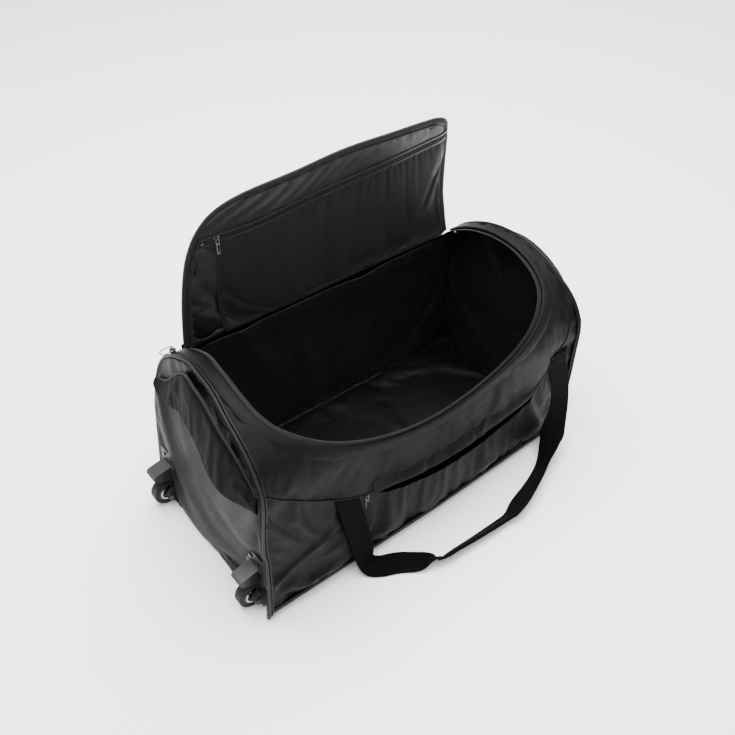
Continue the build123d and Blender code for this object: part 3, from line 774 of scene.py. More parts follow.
# the pocket's mouth hangs a little open behind the flap
t_ = np.clip((XG + 0.178) / 0.464, 0, 1)
sz_ = np.array([[float(seam_z(x)) for x in row] for row in XG])
P_pk[..., 1] += 0.0015 * np.sin(np.pi * t_) ** 0.6 * np.clip(1 - (sz_ - ZG) / 0.040, 0, 1)
Y_PK = body_pt(XG, SG, -0.0012)[..., 1]
P_pk = cloth(P_pk, edge_pin(NU, NV, "LRBT", 1), slack=0.035, frames_=20, cap=0.0055, amp=0.0015, seed=5, wave=0.06, gravity=0.2)
over = P_pk[..., 1] - Y_PK - 0.0008
P_pk[..., 1] -= np.where(over > 0, over - 0.0016 * np.tanh(over / 0.0016), 0)
pocket = sheet_piece("front_pocket_cloth", P_pk, 0.0018, M_GLOSS, sub=1, side=-1.0, flip=False)
done(pocket, "bag", "front_pocket_panel")

# ---- back panel
NU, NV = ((90, 44))
XG = np.zeros((NU, NV)); SG = np.zeros((NU, NV))
for i, q in enumerate(np.linspace(-1, 1, NU)):
    for j, v in enumerate(np.linspace(0, 1, NV)):
        s = S_HINGE + 0.0005 + (S5 - 0.006 - S_HINGE) * v
        z = float(prof(np.array([s]))[1][0])
        lo, hi = xw(z) + 0.0035, xt(z) - 0.0035
        XG[i, j] = (lo + hi) / 2 + q * (hi - lo) / 2
        SG[i, j] = s
P_bk = body_pt(XG, SG, 0.0005)
P_bk = cloth(P_bk, edge_pin(NU, NV, "LRBT", 1), slack=0.03, frames_=18, cap=0.007, amp=0.0013, seed=8, wave=0.07, gravity=0.2)
back = sheet_piece("back_cloth", P_bk, 0.0026, M_SHELL, sub=1, side=-1.0)
done(back, "bag", "back_panel")

# ---- bottom panel, wrapping up both sides
NU, NV = 60, 56
s_all = np.concatenate([np.linspace(S5 - 0.0065, S5, 4)[:-1], np.linspace(S5, S5 + SC, 8)[:-1], np.linspace(S5 + SC, S5 + SC + W - 2 * BR, 36)[:-1]])
rows = []
for s in s_all:
    y, z, ny, nz = prof(np.array([s]))
    rows.append((y[0], z[0], ny[0], nz[0]))
for a in np.linspace(0, math.pi / 2, 8):
    rows.append((-W / 2 + BR - BR * math.sin(a), BR - BR * math.cos(a), -math.sin(a), -math.cos(a)))
for z in np.linspace(BR, BR + 0.0065, 4)[1:]:
    rows.append((-W / 2, z, -1.0, 0.0))
rows = np.array(rows)
P_bt = np.zeros((NU, len(rows), 3))
for i, q in enumerate(np.linspace(-1, 1, NU)):
    lo, hi = xw(rows[:, 1]) + 0.0035, xt(rows[:, 1]) - 0.0035
    P_bt[i, :, 0] = (lo + hi) / 2 + q * (hi - lo) / 2
    P_bt[i, :, 1] = rows[:, 0] + rows[:, 2] * 0.0006
    P_bt[i, :, 2] = np.maximum(rows[:, 1], 0.0004)


def cut_wells(o, zmax=0.0625, pad=0.0246):
    """Clears the cloth where the two wheel housings pass through it."""
    bm = bmesh.new()
    bm.from_mesh(o.data)
    for s_ in (-1, 1):
        for co, no in (((0, s_ * 0.149 - pad, 0), (0, 1, 0)), ((0, s_ * 0.149 + pad, 0), (0, 1, 0)), ((0, 0, zmax), (0, 0, 1)), ((-0.3515, 0, 0), (1, 0, 0))):
            bmesh.ops.bisect_plane(bm, geom=bm.verts[:] + bm.edges[:] + bm.faces[:], plane_co=co, plane_no=no, dist=1e-6)
    kill = [f for f in bm.faces if abs(abs(f.calc_center_median().y) - 0.149) < pad and f.calc_center_median().z < zmax and f.calc_center_median().x < -0.3515]
    bmesh.ops.delete(bm, geom=kill, context="FACES")
    bm.to_mesh(o.data)
    bm.free()


bottom = sheet_piece("bottom_cloth", P_bt, 0.0026, M_SHELL, sub=0, side=-1.0, cut=cut_wells)
done(bottom, "bag", "bottom_panel")


# ---- end panels
def end_grid(side, nu=44, nv=60, d=0.0, top=0.4):
    """Rows across the end from the foot to the crown."""
    ss = np.concatenate([-SC + SC * np.linspace(0, 1, 7)[:-1] ** 1.0, np.linspace(0, (S2 + S3) / 2 - 0.004, nv - 6)])
    P = np.zeros((nu, len(ss), 3))
    y, z, ny, nz = prof(ss)
    for i, q in enumerate(np.linspace(-1, 1, nu)):
        qq = math.sin(q * math.pi / 2) * 0.35 + q * 0.65
        P[i, :, 1] = -y * qq
        # heights come straight from the section, so that the grid follows the arch
        zz = z
        P[i, :, 2] = zz
        P[i, :, 0] = xw(zz) - d if side < 0 else xt(zz) + d
    return P


def end_panel(name, side, node, seed):
    P = end_grid(side)
    nu, nv = P.shape[:2]
    # padded: a broad crown standing 6 mm proud in the middle, tight at the seam
    yy = P[..., 1] / (W / 2); zz = (P[..., 2] - 0.2) / 0.2
    r = np.clip(1 - (np.abs(yy) ** 4 + np.abs(zz) ** 4), 0, 1)
    P[..., 0] += side * (0.0045 * r ** 0.6 - 0.0008)
    pin = edge_pin(nu, nv, "LRBT", 1)
    Q = cloth(P, pin, slack=0.022, frames_=16, cap=0.005, amp=0.0012, seed=seed, wave=0.09, gravity=0.15)
    o = sheet_piece(name, Q, 0.0035, M_SHELL, sub=1, side=-1.0, flip=(side > 0), cut=(cut_wells if side < 0 else None))
    done(o, "bag", node)
    return Q


P_we = end_panel("wheel_end_cloth", -1, "wheel_end_panel", 11)
P_te = end_panel("tow_end_cloth", 1, "tow_end_panel", 12)


# ---- piping round both ends: cord under cloth, with the seam allowance beside it
def end_loop(side, d, dx, zmin=0.016, n=220):
    s = np.linspace(-SC * 0.5, S5 + SC * 0.5, n)
    y, z, ny, nz = prof(s)
    x = (xw(z) if side < 0 else xt(z)) + (-side) * dx
    return np.stack([x, y + ny * d, z + nz * d], -1)


for side, tag in ((-1, "wheel_end"), (1, "tow_end")):
    a = tube("a", end_loop(side, 0.0022, 0.0002), 0.0028, M_PIPE, seg=10)
    b_ = tube("b", end_loop(side, 0.0016, 0.0062), 0.0019, M_PIPE, seg=8)
    o = join(tag + "_piping_cord", [a, b_])
    done(o, "bag", tag + "_piping")

# ---- lining: one bag inside the bag, crumpled
NU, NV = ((90, 90))
s_lin = np.linspace(S_HINGE + 0.002, S5 + SC + (W / 2 - BR), NV // 2)


def lining_wall(name, s0, s1, x0f, x1f, seed, nu=80, nv=44, slack=0.05, cap=0.007, d=-0.0085, gravity=0.5):
    XG = np.zeros((nu, nv)); SG = np.zeros((nu, nv))
    for i, q in enumerate(np.linspace(-1, 1, nu)):
        for j, v in enumerate(np.linspace(0, 1, nv)):
            a0 = s0(q) if callable(s0) else s0
            a1 = s1(q) if callable(s1) else s1
            s = a0 + (a1 - a0) * v
            z = float(prof(np.array([s]))[1][0])
            lo, hi = xw(z) + 0.0085, xt(z) - 0.0085
            if x0f is not None:
                lo, hi = x0f(z, s), x1f(z, s)
            XG[i, j] = (lo + hi) / 2 + q * (hi - lo) / 2
            SG[i, j] = s
    y, z, ny, nz = prof(SG)
    P = np.stack([XG, y + ny * d, z + nz * d], -1)
    Q = cloth(P, edge_pin(nu, nv, "LRBT", 1), slack=slack, frames_=20, cap=cap, amp=0.002, seed=seed, wave=0.06, gravity=gravity)
    return Q


# back wall and floor-side strip
Pb = lining_wall("lining_back", S_HINGE + 0.002, S5 + SC * 0.55, None, None, 21)
if Pb[0, 0, 2] > 0:
    X_, Z_ = Pb[..., 0], Pb[..., 2]
    lf = (ridge(X_, Z_, -0.300, 0.330, -0.215, 0.120, 0.022, 0.0085) + ridge(X_, Z_, -0.205, 0.350, -0.120, 0.160, 0.024, 0.0080)
          + ridge(X_, Z_, 0.055, 0.345, 0.185, 0.235, 0.026, 0.0095) + ridge(X_, Z_, -0.060, 0.300, -0.020, 0.090, 0.020, 0.0065)
          + ridge(X_, Z_, 0.120, 0.200, 0.060, 0.050, 0.018, 0.0060) + ridge(X_, Z_, -0.330, 0.180, -0.180, 0.060, 0.020, 0.0060))
    inner = np.clip((Z_ - 0.030) / 0.03, 0, 1) * np.clip((0.382 - Z_) / 0.03, 0, 1) * np.clip((0.365 - np.abs(X_)) / 0.03, 0, 1)
    Pb[..., 1] -= lf * inner
lin_b = sheet_piece("lin_b", Pb, 0.0006, M_LINING, sub=1, side=1.0, flip=False)
# front wall up to the rim
rimx = rim_path(400)
_fx = rimx[(rimx[:, 1] < 0.45)]
_fx = _fx[np.argsort(_fx[:, 0])]


def rim_s(x):
    return float(np.interp(x, _fx[:, 0], _fx[:, 1]))


Pf = lining_wall("lining_front", -SC * 0.55, lambda q: rim_s(q * 0.300) - 0.0015 if abs(q) < 1.1 else 0, None, None, 22)
up_ = Pf[..., 2] > 0.045
Pf[..., 1] = np.where(up_, np.maximum(Pf[..., 1], -W / 2 + 0.0086), Pf[..., 1])
lin_f = sheet_piece("lin_f", Pf, 0.0006, M_LINING, sub=1, side=1.0, flip=True)
# ends: flat panels inside
lin_parts = [lin_b, lin_f]
for side, seed in ((-1, 23), (1, 24)):
    P = end_grid(side, 40, 50)
    P[..., 0] += -side * 0.0090
    P[..., 1] *= (W / 2 - 0.009) / (W / 2)
    P[..., 2] = 0.0095 + (P[..., 2]) * (H - 0.0095 - 0.0095) / H
    nu, nv = P.shape[:2]
    Q = cloth(P, edge_pin(nu, nv, "LRBT", 1), slack=0.05, frames_=18, cap=0.007, amp=0.002, seed=seed, wave=0.07, gravity=0.3)
    o = sheet_piece("lin_e", Q, 0.0006, M_LINING, sub=1, side=1.0, flip=(side > 0), cut=(lambda ob: cut_wells(ob, 0.0628, 0.0248)) if side < 0 else None)
    lin_parts.append(o)
# strips under the collars, between the front wall and the back wall
for side in (-1, 1):
    nu, nv = 24, 60
    P = np.zeros((nu, nv, 3))
    sA = np.linspace(rim_s(side * 0.300), S_HINGE + 0.002, nv)
    k = [int(np.argmin(np.abs(rimx[:, 1] - s) + 9 * (np.sign(rimx[:, 0]) != side))) for s in sA]
    for j, s in enumerate(sA):
        y, z, ny, nz = prof(np.array([s]))
        xin = rimx[k[j], 0] if j else side * 0.300
        xo = (xw(z[0]) + 0.0085) if side < 0 else (xt(z[0]) - 0.0085)
        for i, t in enumerate(np.linspace(0, 1, nu)):
            P[i, j] = (xin * (1 - t) + xo * t, y[0] - ny[0] * 0.0085, z[0] - nz[0] * 0.0085)
    o = sheet_piece("lin_s", P, 0.0006, M_LINING, sub=0, side=1.0, flip=(side > 0))
    lin_parts.append(o)
# floor, turned up a little at all four sides, in a darker copy of the lining cloth as painted shade
xe = np.r_[-0.3735, -0.3732, -0.3725, np.linspace(-0.3700, 0.3712, 66), 0.3735, 0.3742, 0.3744]
ze_x = np.r_[0.034, 0.020, 0.011, np.zeros(66), 0.011, 0.020, 0.034]
ye = np.r_[-0.1788, -0.1785, -0.1765, np.linspace(-0.1700, 0.1700, 36), 0.1765, 0.1785, 0.1788]
ze_y = np.r_[0.034, 0.020, 0.012, np.zeros(36), 0.012, 0.020, 0.034]
nu, nv = len(xe), len(ye)
P = np.zeros((nu, nv, 3))
P[..., 0] = xe[:, None]; P[..., 1] = ye[None]
P[..., 2] = np.maximum(0.0085, np.maximum(ze_x[:, None], ze_y[None]))
Q = cloth(P, edge_pin(nu, nv, "LRBT", 3), slack=0.035, frames_=18, cap=0.005, amp=0.0015, seed=25, wave=0.08)
Q[..., 2] = np.maximum(Q[..., 2], 0.0078)
o = sheet_piece("lin_fl", Q, 0.0006, M_LINFL_SHADE, sub=1, side=1.0, flip=True, cut=lambda ob: cut_wells(ob, 0.0628, 0.0248))
lin_parts.append(o)
lining = join("lining_cloth_bag", lin_parts)
done(lining, "bag", nodes=("lining", "front_inner_wall", "lid_hinge_tape"))
# ---- rim of the opening: stitched hem, zip tape and teeth
def off_path(o, n, d):
    q = rim_path(n, o)
    return body_pt(q[:, 0], q[:, 1], d)


def rim_strip(name, offs, ds, mat, th, n=260, sub=0, flip=True):
    P = np.stack([off_path(o, n, d) for o, d in zip(offs, ds)], 1)
    return sheet_piece(name, P, th, mat, sub=sub, side=-1.0, flip=flip)


def rim_nrm(o, n):
    q = rim_path(n, o)
    y, z, ny, nz = prof(q[:, 1])
    return np.stack([0 * ny, ny, nz], -1)


hem = rim_strip("hem", [-0.0215, -0.0205, -0.014, -0.007, -0.001, 0.0006, 0.0006], [0.0006, 0.0021, 0.0027, 0.0028, 0.0026, 0.0016, -0.0010], M_SHELL, 0.0012)
hem_st = boxes_along("hem_st", off_path(-0.0185, 1200, 0.00235), rim_nrm(-0.0185, 1200), (0.0026, 0.0007, 0.0005), 0.0038, M_THREAD)
hem_st2 = boxes_along("hem_st2", off_path(-0.0032, 1200, 0.0026), rim_nrm(-0.0032, 1200), (0.0026, 0.0007, 0.0005), 0.0038, M_THREAD)
rim_hem = join("rim_hem", [hem, hem_st, hem_st2])
done(rim_hem, "bag")
ztape = rim_strip("ztape", [-0.006, 0.001, 0.006, 0.0092], [-0.0030, -0.0026, -0.0022, -0.0020], M_BIND, 0.0009)
zteeth = boxes_along("zteeth", off_path(0.0088, 1600, -0.0022), rim_nrm(0.0088, 1600), (0.0012, 0.0042, 0.0016), 0.0021, M_TEETH)
rim_zip = join("rim_zip", [ztape, zteeth])
done(rim_zip, "bag", "main_zip_tape")

# ---- main zip slider and its open wire pull
def slider_block(name, c, size, mat):
    """A zip slider: rounded body, waisted at one end, with a raised bridge."""
    bm = bmesh.new()
    lx, ly, lz = size
    prof_ = [(-0.5, 0.42), (-0.42, 0.5), (0.05, 0.5), (0.32, 0.40), (0.5, 0.26)]
    pts = [(x * lx, y * ly) for x, y in prof_] + [(x * lx, -y * ly) for x, y in prof_[::-1]]
    for z0, z1 in ((-lz / 2, -lz / 2 + lz * 0.3), (lz / 2 - lz * 0.3, lz / 2)):
        lo = [bm.verts.new((x, y, z0)) for x, y in pts]
        hi = [bm.verts.new((x, y, z1)) for x, y in pts]
        bm.faces.new(lo[::-1]); bm.faces.new(hi)
        for i in range(len(pts)):
            j = (i + 1) % len(pts)
            bm.faces.new((lo[i], lo[j], hi[j], hi[i]))
    core = bmesh.ops.create_cube(bm, size=1.0, matrix=Matrix.Translation((-lx * 0.18, 0, 0)) @ Matrix.Diagonal((lx * 0.5, ly * 0.30, lz * 0.7, 1)))
    me = bpy.data.meshes.new(name)
    bm.to_mesh(me)
    bm.free()
    o = bpy.data.objects.new(name, me)
    coll.objects.link(o)
    me.materials.append(mat)
    bake(o, ("BEVEL", dict(width=min(size) * 0.10, segments=2, limit_method="ANGLE")))
    co = np.zeros(len(o.data.vertices) * 3)
    o.data.vertices.foreach_get("co", co)
    o.data.vertices.foreach_set("co", (co.reshape(-1, 3) + np.asarray(c)).ravel())
    o.data.update()
    return o


MS = (-0.333, 0.146, 0.3516)
msb = slider_block("msb", (MS[0], MS[1], MS[2] + 0.0031), (0.0115, 0.0100, 0.0062), M_ZIP)
lug = []
for s_ in (-1, 1):
    path = [(MS[0] - 0.0022, MS[1] + s_ * 0.0040, MS[2] + 0.0055), (MS[0] - 0.0020, MS[1] + s_ * 0.0040, MS[2] + 0.0095), (MS[0], MS[1] + s_ * 0.0040, MS[2] + 0.0106),
            (MS[0] + 0.0020, MS[1] + s_ * 0.0040, MS[2] + 0.0095), (MS[0] + 0.0022, MS[1] + s_ * 0.0040, MS[2] + 0.0055)]
    lug.append(tube("lug", smooth_path(path, 16), 0.0009, M_ZIP, seg=8))
main_slider = join("main_zip_slider_body", [msb] + lug)
done(main_slider, "bag", "main_zip_slider")
pz = 0.360
loop_ = [(MS[0], MS[1] - 0.0070, pz), (MS[0] - 0.006, MS[1] - 0.0072, pz), (MS[0] - 0.018, MS[1] - 0.0068, pz), (MS[0] - 0.0225, MS[1] - 0.0050, pz), (MS[0] - 0.0235, MS[1], pz),
         (MS[0] - 0.0225, MS[1] + 0.0050, pz), (MS[0] - 0.018, MS[1] + 0.0068, pz), (MS[0] - 0.006, MS[1] + 0.0072, pz), (MS[0], MS[1] + 0.0070, pz)]
wire = tube("wire", smooth_path(loop_, 60), 0.00105, M_ZIP, seg=10)
bar_ = tube("bar_", [(MS[0], MS[1] + 0.0070 * k, pz) for k in np.linspace(-1, 1, 8)], 0.00095, M_ZIP, seg=10)
done(join("main_zip_wire_pull", [wire, bar_]), "zip_pull", "main_zip_pull")

# ---- front pocket: overhanging flap of the yoke, zip behind it, slider and pull
FX0, FX1 = -0.152, 0.288


def flap_env(x):
    t = np.clip((np.asarray(x, float) - FX0) / (FX1 - FX0), 0, 1)
    return np.sin(np.pi * t) ** 0.30


nu, nv = 120, 14
P = np.zeros((nu, nv, 3))
for i, x in enumerate(np.linspace(FX0, FX1, nu)):
    z0 = float(seam_z(x))
    e = float(flap_env(x))
    for j, t in enumerate(np.linspace(0, 1, nv)):
        zz = z0 + 0.022 - (0.022 + 0.004 * e) * t
        dd = -0.0006 + 0.0026 * min(1.0, t * 3.0) + 0.0106 * e * math.sin(min(1.0, t * 1.15) * math.pi / 2) ** 2.2
        P[i, j] = body_pt(np.array([x]), np.array([s_front(zz)]), dd)[0]
Q = cloth(P, edge_pin(nu, nv, "LRB", 1), slack=0.02, frames_=10, cap=0.0025, amp=0.0012, seed=41, wave=0.05)
flap = sheet_piece("flap", Q, 0.0016, M_SHELL, sub=1, side=-1.0, flip=True)
st = []
for off in (0.004, 0.009):
    pth, nn = [], []
    for x in np.linspace(FX0 + 0.004, FX1 - 0.004, 500):
        pth.append(body_pt(np.array([x]), np.array([s_front(float(seam_z(x)) + 0.018 + off)]), 0.0020)[0]); nn.append((0, -1, 0))
    st.append(boxes_along("st", pth, nn, (0.0026, 0.0007, 0.0005), 0.0038, M_THREAD))
done(join("pocket_flap", [flap] + st), "bag")
pth, nn = [], []
for x in np.linspace(-0.180, 0.286, 900):
    z0 = float(seam_z(x)) - 0.0035
    pth.append((x, -W / 2 + 0.0010 + 0.0050 * float(flap_env(x)), z0 - 0.003 * float(flap_env(x)))); nn.append((0, -1, 0))
pth = np.array(pth)
# painted shade: a near-black sheet behind the flap and the pocket's open mouth stands in for the shadow inside the
# pocket
back_ = np.stack([np.stack([(x, -W / 2 + 0.0062, float(seam_z(x)) + 0.012), (x, -W / 2 + 0.0062, float(seam_z(x)) - 0.012), (x, -W / 2 + 0.0058, float(seam_z(x)) - 0.060)]) for x in np.linspace(-0.20, 0.31, 80)])
mouth = sheet_piece("mouth", back_, 0.0008, M_MOUTH_SHADE, sub=1, side=1.0)
tp = ribbon("tp", pth[::6], np.tile((0, 0, 1.0), (len(pth[::6]), 1)), 0.018, 0.0010, M_MOUTH_SHADE)
tt = boxes_along("tt", pth + np.array([0, -0.0005, 0]), nn, (0.0011, 0.0044, 0.0014), 0.0020, M_TEETH)
done(join("pocket_zip_row", [tp, tt, mouth]), "bag", "pocket_zip_tape")
PS = (-0.166, -W / 2, 0.163)
blk = slider_block("blk", (0, 0, 0), (0.0120, 0.0088, 0.0046), M_ZIP)
co = np.zeros(len(blk.data.vertices) * 3); blk.data.vertices.foreach_get("co", co)
co = co.reshape(-1, 3)
co = np.stack([PS[0] + co[:, 0], PS[1] - 0.0010 - co[:, 2], PS[2] + co[:, 1]], -1)
blk.data.vertices.foreach_set("co", co.ravel()); blk.data.update()
eye = tube("eye", smooth_path([(PS[0], PS[1] - 0.003, PS[2] + 0.0032), (PS[0], PS[1] - 0.0072, PS[2] + 0.0026), (PS[0], PS[1] - 0.0082, PS[2]), (PS[0], PS[1] - 0.0072, PS[2] - 0.0026), (PS[0], PS[1] - 0.003, PS[2] - 0.0032)], 18), 0.0009, M_ZIP, seg=8)
done(join("pocket_slider_body", [blk, eye]), "front_slider", "pocket_slider")


def pull_tab(name, c, axis_r, length, width, th, mat, dn=(0, 0, -1.0), out=(0, -1.0, 0)):
    """A pull: wire bail round the slider's eye and a flat tab with a window."""
    c = np.asarray(c, float); dn = np.asarray(dn, float); out = np.asarray(out, float)
    side = np.cross(dn, out)
    w = width / 2
    bail = tube("bail", smooth_path([c - side * w * 0.95 + dn * 0.0085, c - side * w * 0.95 + dn * 0.002, c - side * w * 0.7 - dn * 0.0004, c + side * w * 0.7 - dn * 0.0004, c + side * w * 0.95 + dn * 0.002, c + side * w * 0.95 + dn * 0.0085], 40), 0.00085, mat, seg=8)
    ring = [(-0.5, 0.0), (-0.5, 0.92), (-0.42, 1.0), (0.42, 1.0), (0.5, 0.92), (0.5, 0.0)]
    hole = [(-0.24, 0.16), (-0.24, 0.80), (-0.20, 0.84), (0.20, 0.84), (0.24, 0.80), (0.24, 0.16)]
    V, F = [], []
    for sgn in (-1, 1):
        for a, b_ in ring + hole:
            V.append(c + dn * (0.0078 + b_ * (length - 0.0078)) + side * a * width + out * sgn * th / 2)
    n6 = 6
    for k in range(n6):
        j = (k + 1) % n6
        F.append((k, j, n6 + j, n6 + k))
        F.append((12 + j, 12 + k, 12 + n6 + k, 12 + n6 + j))
        F.append((k, 12 + k, 12 + j, j))
        F.append((n6 + j, 12 + n6 + j, 12 + n6 + k, n6 + k))
    tab = obj_from("tab", V, F, [mat], uv=np.zeros((len(V), 2)))
    fix_normals(tab)
    bake(tab, ("BEVEL", dict(width=0.0004, segments=2, limit_method="ANGLE")))
    return join(name, [bail, tab])


done(pull_tab("pocket_pull_tab", (PS[0], PS[1] - 0.0062, PS[2]), 0.001, 0.034, 0.0070, 0.0019, M_ZIP), "front_pull", "pocket_pull")


def lid_pt(x, r, d=0.0):
    x = np.asarray(x, float); r = np.asarray(r, float)
    a = np.radians(np.interp(x, [-0.31, 0.31], [10.5, 5.0]))
    t = np.clip(r / 0.33, 0, 1)
    b_ = 0.096 * t * (1 - t) + 0.012 * np.clip((x - 0.262) / 0.045, 0, 1) ** 2 * np.clip(r / 0.08, 0, 1) + 0.0015 * np.sin(x * 23 + 1.2) * np.clip(r / 0.1, 0, 1) + d
    return np.stack([x * np.ones_like(b_), HY - np.sin(a) * r + np.cos(a) * b_, HZ + np.cos(a) * r + np.sin(a) * b_], -1)


def lid_n(x, r):
    x = np.asarray(x, float)
    a = np.radians(np.interp(x, [-0.31, 0.31], [10.5, 5.0]))
    t = np.clip(np.asarray(r, float) / 0.33, 0, 1)
    g = 0.096 * (1 - 2 * t) / 0.33
    n = np.stack([0 * a, np.cos(a) + g * np.sin(a), np.sin(a) - g * np.cos(a)], -1)
    return n / np.linalg.norm(n, axis=-1, keepdims=True)


LID_E = np.array([(-0.3050, 0.003), (-0.3000, 0.050), (-0.2945, 0.103), (-0.2870, 0.168), (-0.2795, 0.205), (-0.2680, 0.238), (-0.2495, 0.266), (-0.2250, 0.283), (-0.1920, 0.2925), (-0.1500, 0.2965),
                  (-0.0690, 0.2955), (0.0380, 0.2965), (0.1570, 0.2885), (0.2300, 0.2800), (0.2580, 0.2745), (0.2775, 0.2650), (0.2930, 0.2480), (0.3050, 0.2220), (0.3115, 0.1900), (0.3150, 0.1300), (0.3150, 0.0700), (0.3120, 0.003)])
lid_edge = smooth_path(LID_E, 420)
_ld = np.r_[0, np.cumsum(np.linalg.norm(np.diff(lid_edge, axis=0), axis=1))]
_lt = np.gradient(lid_edge, axis=0); _lt /= np.linalg.norm(_lt, axis=1)[:, None]
_ln = np.c_[_lt[:, 1], -_lt[:, 0]]   # towards the middle of the lid


def lid_in(o, n=420, sm=0):
    q = lid_edge + _ln * o
    if o > 0.012:
        for _ in range(10):
            q[1:-1] = (q[:-2] + 2 * q[1:-1] + q[2:]) / 4
    return resample(q, n)


def lid_grid(inset, nu, nv):
    """Coons patch over the lid, inset from its free edge."""
    q = lid_in(inset, 600)
    k1 = int(np.argmin(np.abs(q[:, 0] + 0.258 - inset * 0.7) + np.where(q[:, 0] > 0, 9, 0)))
    k2 = int(np.argmin(np.abs(q[:, 0] - 0.284 + inset * 0.7) + np.where(q[:, 1] < 0.2, 9, 0)))
    Lc = resample(q[: k1 + 1], nv); Tc = resample(q[k1: k2 + 1], nu); Rc = resample(q[k2:][::-1], nv)
    Bc = np.c_[np.linspace(q[0, 0], q[-1, 0], nu), np.full(nu, q[0, 1])]
    u = np.linspace(0, 1, nu)[:, None, None]; v = np.linspace(0, 1, nv)[None, :, None]
    G = (1 - v) * Bc[:, None] + v * Tc[:, None] + (1 - u) * Lc[None] + u * Rc[None] - ((1 - u) * (1 - v) * Bc[0] + u * (1 - v) * Bc[-1] + (1 - u) * v * Tc[0] + u * v * Tc[-1])
    return G


def lid_done(o, node=None, nodes=()):
    if node or nodes:
        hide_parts(*([node] if node else []), *nodes)
    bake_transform(o)
    PIECES.append(o)
    return o


nu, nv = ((110, 60))
G = lid_grid(0.0, nu, nv)
P = lid_pt(G[..., 0], G[..., 1], 0.0018)
P = cloth(P, edge_pin(nu, nv, "LRBT", 1), slack=0.022, frames_=16, cap=0.004, amp=0.0012, seed=51, wave=0.09, gravity=0.1)
lid_done(sheet_piece("lid_cloth", P, 0.0022, M_SHELL, sub=1, side=-1.0, flip=True), "lid_panel")
G = lid_grid(0.004, nu, nv)
P = lid_pt(G[..., 0], G[..., 1], -0.0014)
# diagonal drag lines in the loose band above the pocket
rr_ = np.clip((G[..., 1] - 0.215) / 0.04, 0, 1) * np.clip((0.292 - G[..., 1]) / 0.02, 0, 1)
w_ = 0.5 + 0.5 * np.sin((G[..., 0] * 1.0 - (G[..., 1] - 0.2) * 1.3) * 2 * math.pi / 0.046 + 2.2 * np.sin(G[..., 0] * 17))
env = np.clip(1.15 - np.abs(G[..., 0] + 0.10) / 0.20, 0.15, 1)
P = P - lid_n(G[..., 0], G[..., 1]) * (0.0042 * w_ ** 2 * rr_ * env)[..., None]
pin = edge_pin(nu, nv, "LRBT", 1)
P = cloth(P, pin, slack=0.05, frames_=20, cap=0.0035, amp=0.002, seed=52, wave=0.05, gravity=0.3, bend=0.3)
# it lies flat along the pocket's zip
zr_ = np.interp(G[..., 0], [-0.262, -0.228, -0.160, -0.056, 0.056, 0.174, 0.250, 0.296], [0.2145, 0.2135, 0.2100, 0.2150, 0.2170, 0.2220, 0.2240, 0.2235])
near = np.exp(-(np.maximum(np.abs(G[..., 1] - zr_) - 0.004, 0) / 0.008) ** 2) * np.clip((G[..., 0] + 0.285) / 0.02, 0, 1)
flat_ = lid_pt(G[..., 0], G[..., 1], -0.0012)
P = P + (flat_ - P) * near[..., None]
lid_done(sheet_piece("lid_lining_cloth", P, 0.0006, M_LIDLIN, sub=1, side=1.0, flip=False), None)

# zip half round the free edge, a cord binding inside it, stitches
def edge_strip(offs, ds, mat, th, name="es", n=420):
    cols = []
    for o, d in zip(offs, ds):
        q = lid_in(o, n)
        cols.append(lid_pt(q[:, 0], q[:, 1], 0.0) + lid_n(q[:, 0], q[:, 1]) * d)
    return sheet_piece(name, np.stack(cols, 1), th, mat, sub=0, side=-1.0, flip=False)


es = edge_strip([-0.0012, -0.0016, 0.0010, 0.0060, 0.0072], [0.0022, -0.0005, -0.0030, -0.0034, -0.0024], M_BIND, 0.0008)
q = lid_in(-0.0014, 1600)
et = boxes_along("et", lid_pt(q[:, 0], q[:, 1], -0.0004), -lid_n(q[:, 0], q[:, 1]), (0.0012, 0.0034, 0.0016), 0.0021, M_TEETH)
q = lid_in(0.0105, 420)
pb = tube("pb", lid_pt(q[:, 0], q[:, 1], -0.0034), 0.0021, M_BIND, seg=10)
q2 = lid_in(0.0135, 420)
pb2 = edge_strip([0.0085, 0.0125, 0.0165], [-0.0024, -0.0030, -0.0022], M_LIDLIN, 0.0007)
q3 = lid_in(0.0150, 1400)
ps3 = boxes_along("ps3", lid_pt(q3[:, 0], q3[:, 1], -0.0031), -lid_n(q3[:, 0], q3[:, 1]), (0.0026, 0.0007, 0.0005), 0.0038, M_THREAD)
lid_done(join("lid_edge_zip", [es, et, pb, pb2, ps3]), "lid_edge_tape")

# mesh pocket on the inner face, its binding and its zip
ZIPL = np.array([(-0.262, 0.2145), (-0.228, 0.2135), (-0.160, 0.2100), (-0.056, 0.2150), (0.056, 0.2170), (0.174, 0.2220), (0.250, 0.2240), (0.2960, 0.2235)])
_zl = smooth_path(ZIPL, 300)


def zip_r(x):
    return np.interp(x, _zl[:, 0], _zl[:, 1])


nu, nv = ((120, 60))
P = np.zeros((nu, nv, 3)); GX = np.zeros((nu, nv)); GR = np.zeros((nu, nv))
for i, t in enumerate(np.linspace(0, 1, nu)):
    for j, v in enumerate(np.linspace(0, 1, nv)):
        xl = -0.226 + (-0.262 + 0.226) * max(0, (v - 0.80) / 0.20) ** 2 if v > 0.80 else -0.226
        xr = 0.2930 + 0.006 * (1 - v)
        x = xl + (xr - xl) * t
        r0 = 0.004
        GX[i, j] = x; GR[i, j] = r0 + (float(zip_r(x)) - 0.004 - r0) * v
P = lid_pt(GX, GR, -0.0046)
P = P - lid_n(GX, GR) * (0.0045 * np.sin(np.pi * np.linspace(0, 1, nv)) ** 0.7)[None, :, None] * (np.sin(np.pi * np.linspace(0.02, 0.98, nu)) ** 0.5)[:, None, None]
P = cloth(P, edge_pin(nu, nv, "LRBT", 1), slack=0.035, frames_=20, cap=0.0045, amp=0.002, seed=61, wave=0.10, gravity=0.3, bend=0.4)
